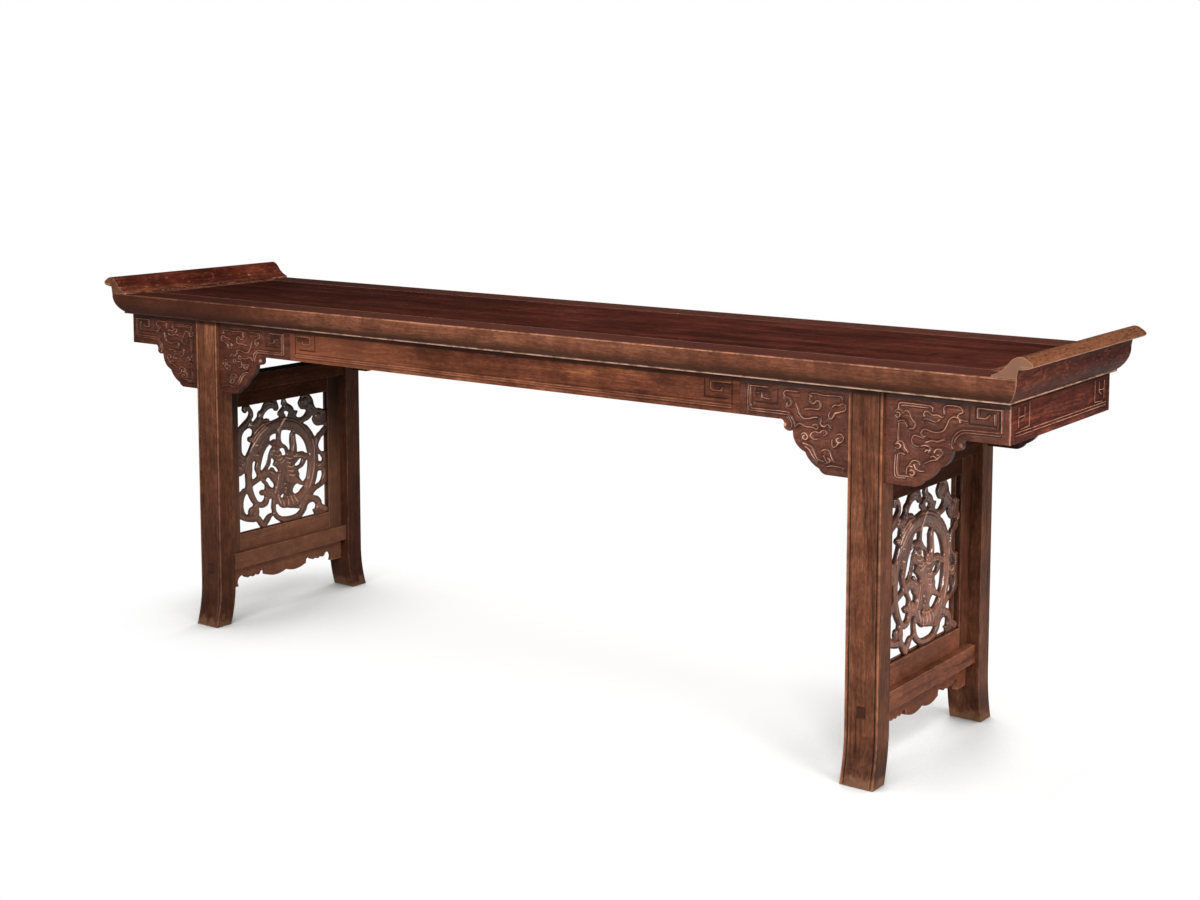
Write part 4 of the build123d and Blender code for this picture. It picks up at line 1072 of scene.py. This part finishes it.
# Fine raised lines on the spandrel board.
SPANDREL_LINES = [
    # border lines of the inner half, down round the hook
    [(680, 780), (679, 760), (679, 740), (682, 733.5), (700, 733), (762, 733.5), (771, 730), (778, 723),
     (782, 714), (784, 706)],
    [(675, 782), (674, 760), (674, 735), (677, 729), (700, 728.5), (762, 728), (769, 725), (774, 719),
     (777, 711), (777, 703)],
    # inner scrolls, from the hook to the leg
    [(792, 777), (775, 777), (762, 776), (758, 770), (761, 764), (768, 762)],
    [(768, 762), (774, 757), (775, 750), (770, 745), (765, 749), (767, 754)],
    [(786, 753), (790, 744), (794, 734), (800, 727), (808, 724), (818, 725), (826, 728), (835, 729)],
    [(842, 728), (843, 720), (847, 714), (853, 713), (858, 717), (864, 714), (866, 710)],
    [(785, 705), (791, 711), (798, 713), (806, 709), (816, 708), (826, 708), (834, 705), (838, 710),
     (832, 715), (826, 712)],
    [(820, 769), (818, 774), (828, 777), (850, 775), (885, 776), (892, 772), (891, 767)],
    [(820, 770), (817, 764), (821, 758), (828, 757), (833, 762), (839, 762), (842, 756), (841, 748),
     (835, 745), (820, 745), (806, 743)],
    [(869, 753), (875, 758), (884, 758), (891, 762), (898, 758), (899, 750), (893, 747), (884, 744),
     (876, 741), (872, 734), (866, 729), (861, 734), (864, 743)],
    [(881, 700), (889, 701), (895, 695), (893, 687), (885, 684), (880, 689), (885, 693)],
    [(885, 683), (880, 677), (873, 673), (869, 680), (870, 688)],
    [(799, 690), (804, 695), (811, 694), (815, 688), (811, 682), (805, 683), (804, 688), (808, 690)],
    [(821, 690), (824, 697), (832, 700), (842, 699), (848, 704), (855, 703), (856, 697), (850, 694)],
    [(824, 688), (829, 684), (836, 685)],
    [(803, 675), (812, 673), (822, 669), (829, 661), (834, 652), (840, 645), (850, 642)],
    [(810, 668), (819, 663), (825, 654), (831, 646), (839, 640)],
    [(846, 663), (853, 666), (862, 665), (867, 658), (871, 650), (875, 643)],
    [(852, 653), (856, 645), (863, 641), (867, 646), (862, 650)],
    [(857, 632), (868, 635), (880, 635), (893, 634), (897, 631)],
    # border lines of the outer half
    [(1222, 739), (1160, 738), (1146, 736), (1138, 731), (1132, 724), (1128, 716), (1127, 707),
     (1130, 700)],
    [(1222, 733.5), (1162, 733), (1149, 731), (1141, 726), (1135, 719), (1132, 711)],
    [(1080, 777), (1030, 777.5), (1017, 776.5), (1014, 771), (1014, 765)],
    [(1078, 772.5), (1032, 773), (1020, 772)],
    [(1080, 777), (1086, 773), (1085, 766)],
    [(1015, 737), (1014, 715), (1014, 703)],
    [(1014, 675), (1013, 655), (1013, 640), (1018, 634), (1030, 635), (1045, 634)],
    [(1009, 674), (1008, 655), (1008, 638), (1012, 631), (1030, 630.5)],
    # leaves along the leg
    [(1006, 758), (1010, 763), (1018, 763), (1024, 758), (1030, 763), (1036, 760), (1041, 752),
     (1045, 745), (1050, 738), (1047, 730), (1038, 728)],
    [(1007, 752), (1013, 748), (1018, 752), (1017, 758), (1011, 758)],
    [(1013, 740), (1022, 743), (1029, 739), (1033, 732)],
    [(1012, 700), (1020, 702.5), (1026, 699), (1029, 691), (1033, 686), (1036, 681)],
    [(1008, 689), (1013, 686), (1019, 689), (1020, 695), (1014, 698), (1009, 695)],
    [(1013, 675), (1019, 679), (1028, 677)],
    [(1040, 659), (1044, 665), (1051, 667.5), (1058, 666), (1061, 660)],
    [(1033, 640), (1034, 650), (1039, 656), (1046, 655)],
    [(1050, 660), (1054, 652), (1061, 648), (1069, 649)],
    [(1040, 640), (1047, 638), (1051, 644), (1046, 649), (1041, 646)],
    # the two ribbons of the outer half
    [(1063, 724), (1066, 729), (1073, 731), (1082, 728), (1094, 727), (1104, 729), (1112, 735),
     (1117, 745), (1121, 754), (1128, 760), (1136, 760), (1142, 757), (1144, 751)],
    [(1063, 724), (1064, 718), (1072, 716)],
    [(1045, 714), (1050, 717), (1058, 715), (1068, 713)],
    [(1074, 706), (1085, 710), (1096, 709), (1103, 712), (1111, 714.5)],
    [(1045, 714), (1043, 706), (1047, 698), (1056, 695)],
    [(1063, 697), (1072, 699.5), (1080, 698), (1083, 692), (1080, 687)],
    [(1072, 687), (1076, 691), (1083, 691)],
    [(1092, 688), (1095, 694), (1103, 695), (1108, 688), (1104, 682), (1098, 684)],
    [(1083, 678), (1090, 680), (1096, 677), (1104, 681)],
    [(1071, 664), (1080, 669), (1088, 672.5), (1096, 674), (1101, 679)],
    [(1070, 756), (1068, 762), (1073, 766), (1080, 763), (1086, 760), (1097, 761), (1106, 757)],
    [(1067, 748), (1071, 751), (1082, 749), (1094, 747), (1101, 752)],
    [(1110, 764), (1109, 774), (1113, 780), (1125, 781.5), (1139, 781), (1146, 777), (1148, 771),
     (1141, 767)],
    [(1141, 767), (1138, 762), (1144, 756), (1158, 755)],
]
# Broad low ribbons and leaves under those lines, as (x, z, half width).
SPANDREL_BANDS = [
    [(782, 727, 9), (796, 720, 8), (812, 716, 7), (835, 717, 6), (850, 712, 6)],
    [(1140, 752, 6), (1127, 748, 7), (1119, 734, 8), (1108, 722, 7), (1088, 719, 7), (1068, 722, 6)],
    [(1130, 700, 7), (1112, 705, 7), (1090, 702, 6), (1066, 705, 6), (1050, 707, 7)],
    [(768, 770, 6), (778, 769, 6), (790, 768, 5)],
    [(822, 752, 6), (832, 751, 6), (836, 754, 6)],
    [(870, 736, 6), (882, 750, 6), (892, 754, 6)],
    [(886, 692, 8), (880, 683, 7)],
    [(807, 688, 8), (826, 691, 7), (846, 698, 6)],
    [(806, 671, 5), (824, 659, 6), (838, 645, 5)],
    [(852, 658, 7), (862, 654, 7), (868, 645, 5)],
    [(1012, 754, 7), (1024, 752, 7), (1036, 748, 7), (1042, 736, 6)],
    [(1014, 693, 7), (1022, 692, 6), (1029, 683, 5)],
    [(1043, 652, 8), (1052, 658, 7), (1046, 643, 7)],
    [(1072, 756, 7), (1084, 755, 6), (1100, 755, 6)],
    [(1076, 690, 6), (1088, 686, 7), (1100, 688, 7)],
    [(1118, 771, 7), (1134, 773, 7), (1142, 772, 5)],
]
# Square scrolls at the two ends of the spandrel board, the grooves round them and the hollows.
SPANDREL_FRETS = [
    [(678, 779.5), (722, 779.5)],
    [(693, 766), (706, 766), (707, 757), (724, 755.5)],
    [(1227, 739), (1227, 782), (1178, 782), (1178, 763.5), (1196, 763.5), (1201, 770)],
    [(1213, 773), (1213, 751)],
]
SPANDREL_GROOVES = [
    [(690, 747), (742, 747), (743, 776)],
    [(692, 776), (692, 758)],
    [(1161, 780), (1161, 750), (1214, 750)],
    [(1174, 780), (1174, 760)],
    [(1222, 778), (1222, 743)],
]
SPANDREL_HOLLOWS = [
    [(697, 772, 7), (720, 768, 7)],
    [(1184, 773, 6), (1206, 773, 6)],
]

# The middle apron, as (in from its end, z): its square scroll and its border lines.
APRON_FRETS = [
    [(21, 780), (70, 780), (70, 764), (66, 761), (44, 761), (43, 768)],
]
APRON_GROOVES = [
    [(86, 789), (86, 746), (33, 746)],
    [(19, 789), (19, 735)],
]
APRON_HOLLOWS = [
    [(28, 772, 7), (60, 771, 7)],
]
APRON_BORDER, BORDER_START = (733.5, 728.5), 20

# An end apron, as (in from its corner, z).
END_FRETS = [
    [(34, 784), (34, 748)],
    [(34, 766), (62, 767)],
    [(62, 783), (62, 764), (48, 757)],
    [(84, 791), (84, 744), (46, 742)],
]
END_BORDER, END_BORDER_START = (738.0, 732.0), 22
CORNER_IN, CORNER_HALF, CORNER_RISE = 8, 7, 0.9  # rounded strip beside a corner of the table
HOOK_DROP, HOOK_HIGHLIGHT = 10, 7  # painted highlight on the tip of a hook: down from the apron, and how wide


# --------------------------------------------------------- carved boards
def three_point_arc(start, over, end, steps=8):
    """Points of the arc from start over a middle point, without its end."""
    a, b, c = (complex(*p) for p in (start, over, end))
    w = (c - a) / (b - a)
    middle = a + (b - a) * (w - abs(w) ** 2) / (2j * w.imag)
    part, whole = (cmath.phase((p - middle) / (a - middle)) for p in (b, c))
    if whole * part < 0 or abs(whole) < abs(part):
        whole += math.copysign(2 * math.pi, part)
    spots = [middle + (a - middle) * cmath.exp(1j * whole * k / steps) for k in range(steps)]
    return [(p.real, p.imag) for p in spots]


def spandrel_edge(side, reach):
    """Lower edge of a spandrel from its apron to the flat beside the leg."""
    tip = LEG_MIDDLE + side * reach
    drawn = [(tip - side * back, APRON_Z - drop) for back, drop in SPANDREL_EDGE]
    points = []
    for k in range(0, len(drawn) - 2, 2):
        points += three_point_arc(*drawn[k : k + 3])
    return points + [drawn[-1]]


def broad(points, paths):
    """Broad ribbons with soft shoulders: 1 in their middle and 0 outside."""
    field = np.zeros(len(points))
    for path in paths:
        field = np.maximum(field, np.clip(1.3 - 1.3 * stroke(points, curve(path)) ** 2, 0, 1))
    return field


def low_relief(
    points, curls=(), frets=(), grooves=(), bands=(), hollows=(), rise=2.7, polish_and_highlight=0.32,
    shadow_line=SHADOW_LINE,
):
    """Height of carving in low relief, and its tint: 0 where grime and painted shade darken it, 1 on a
    worn line with a painted highlight.
    """
    off_curls = nearest_line(points, curls, LINE_HALF)
    off = np.minimum(off_curls, nearest_line(points, frets, FRET_HALF, False))
    crest = np.exp(-1.1 * off**2)
    margin = bump(off, 2.2, 0.75)
    groove = np.exp(-1.2 * nearest_line(points, grooves, LINE_HALF, False) ** 2)
    raised, sunk = broad(points, bands), broad(points, hollows)
    height = rise * crest - 0.35 * rise * margin + 2.5 * raised - 1.5 * groove - 1.3 * sunk
    # Worn crests with painted highlights; grime and painted shade beside the lines, in grooves and in sunk
    # places.
    tint = 0.53 + (polish_and_highlight + 0.12) * crest + 0.13 * raised
    tint = tint - 0.20 * margin - 0.34 * groove - 0.18 * sunk
    # Painted shadow under the top.
    shadow = np.clip((points[:, 1] - shadow_line) / 4, 0, 1)
    return height, np.clip(tint - 0.7 * shadow, 0, 1)


def spandrel_relief(points):
    """The carving of the right front spandrel board, with a painted highlight on the tips of its two
    hooks.
    """
    height, tint = low_relief(
        points, SPANDREL_LINES, SPANDREL_FRETS, SPANDREL_GROOVES, SPANDREL_BANDS, SPANDREL_HOLLOWS
    )
    for reach in (-INNER_HOOK, OUTER_HOOK):
        tip = np.array([LEG_MIDDLE + reach, APRON_Z - HOOK_DROP])
        # Painted highlight on the tip of each hook.
        tint += 0.5 * bump(np.linalg.norm(points - tip, axis=1), 0, HOOK_HIGHLIGHT)
    return height, np.clip(tint, 0, 1)


def from_end(points, half_length):
    """Places as (in from the nearer end of a board, z)."""
    return np.stack([half_length - np.abs(points[:, 0]), points[:, 1]], 1)


def apron_relief(points):
    """The carving of the middle apron."""
    borders = [[(BORDER_START, z), (2 * JOINT_X, z)] for z in APRON_BORDER]
    return low_relief(
        from_end(points, JOINT_X), (), APRON_FRETS + borders, APRON_GROOVES, (), APRON_HOLLOWS,
        1.7, 0.26,
    )


def end_relief(points):
    """The carving of an end apron, and the rounded strip at its corners."""
    places = from_end(points, END_Y)
    borders = [[(END_BORDER_START, z), (2 * END_Y, z)] for z in END_BORDER]
    height, tint = low_relief(
        places, (), END_FRETS + borders, rise=1.7, polish_and_highlight=0.33, shadow_line=END_SHADOW_LINE
    )
    corner = np.clip(1 - np.abs(places[:, 0] - CORNER_IN) / CORNER_HALF, 0, 1)
    return height + CORNER_RISE * np.sqrt(corner), np.clip(tint + 0.2 * corner, 0, 1)


def board_mesh(outline, relief, limits, coarse):
    """A board carved in front: places as (along, up, out), faces and relief. Its ends are mitred."""
    places, margin, faces = cut_plate(np.array(outline), [], BOARD_PITCH, BOARD_REACH, coarse)
    height, tint = relief(places)
    edge = rounded(1 - np.clip(margin / ROUND_IN, 0, 1))
    height = height * np.clip(margin / RELIEF_IN, 0, 1) - ROUND_DOWN * (1 - edge)
    used, front = used_only(faces)
    loop = chained(open_edges(front))
    behind = {v: len(used) + k for k, v in enumerate(loop)}
    walls = [[behind[a], behind[b], b, a] for a, b in zip(loop, loop[1:] + loop[:1])]
    back = [[behind[v] for v in reversed(loop)]]
    flat = places[used]
    rear = flat[loop].copy()
    rear[:, 0] = np.clip(rear[:, 0], *limits)
    backs = np.column_stack([rear, np.full(len(rear), -BOARD_THICK)])
    spots = np.vstack([np.column_stack([flat, height[used]]), backs])
    level = np.concatenate([tint[used], np.full(len(rear), BACK_SHADE_TINT)])
    return spots, [f.tolist() for f in front] + [walls, back], level


def strip_mesh(half_length, relief, mitre):
    """An apron board that runs to half_length on each side of its middle."""
    left, right, limit = -half_length, half_length, half_length - mitre
    outline = [(left, APRON_Z), (right, APRON_Z), (right, UNDER_Z), (left, UNDER_Z)]
    plain = [(left + FRET_LENGTH, right - FRET_LENGTH, PLAIN_PITCH)]
    return board_mesh(outline, relief, (-limit, limit), plain)


def spandrel_mesh():
    """The right front spandrel board, from the joint at the middle apron to the end apron."""
    outline = spandrel_edge(-1, INNER_HOOK) + spandrel_edge(1, OUTER_HOOK)[::-1]
    outline += [(END_X, APRON_Z), (END_X, UNDER_Z), (JOINT_X, UNDER_Z), (JOINT_X, APRON_Z)]
    behind_leg = [(leg_low.x / MM + 3, leg_high.x / MM - 3, HIDDEN_PITCH)]
    return board_mesh(outline, spandrel_relief, (JOINT_X, END_X - BOARD_THICK), behind_leg)


def place_board(name, node_name, mesh, signs, material, across=False):
    """Put a board where its node is: on the front or the back, or across an end."""
    spots, faces, level = mesh
    along, up, out = spots.T
    columns = [END_X + out, along, up] if across else [along, -END_Y - out, up]
    places = np.stack(columns, 1) * np.array([*signs, 1])
    if signs[0] * signs[1] < 0:
        faces = [[f[::-1] for f in group] for group in faces]
    add_piece(name, places, faces, level, material, node_name)


def add_boards(woods):
    """The aprons and spandrel boards, carved in low relief on the faces that show."""
    spandrel = spandrel_mesh()
    for side, sx in SIDES:
        for depth, sy in DEPTHS:
            place_board(
                f"spandrel_board_{depth}_{side}", f"spandrel_{depth}_{side}", spandrel, (sx, sy),
                woods["spandrel"],
            )
    apron = strip_mesh(JOINT_X, apron_relief, 0.0)
    for depth, sy in DEPTHS:
        place_board(
            f"long_apron_{depth}", f"apron_{depth}", apron, (1, sy), woods["apron"]
        )
    end = strip_mesh(END_Y, end_relief, BOARD_THICK)
    for side, sx in SIDES:
        place_board(
            f"short_apron_{side}", f"end_apron_{side}", end, (sx, 1), woods["end"], True
        )


# ------------------------------------------------------------- the scene
bpy.context.scene.view_settings.view_transform = "Standard"
add_camera()
add_floor()
add_world()
add_lamps()
woods = make_woods()
for name in sorted(nodes):
    dress_node(name, woods)
add_screens(woods["carving"])
add_boards(woods)
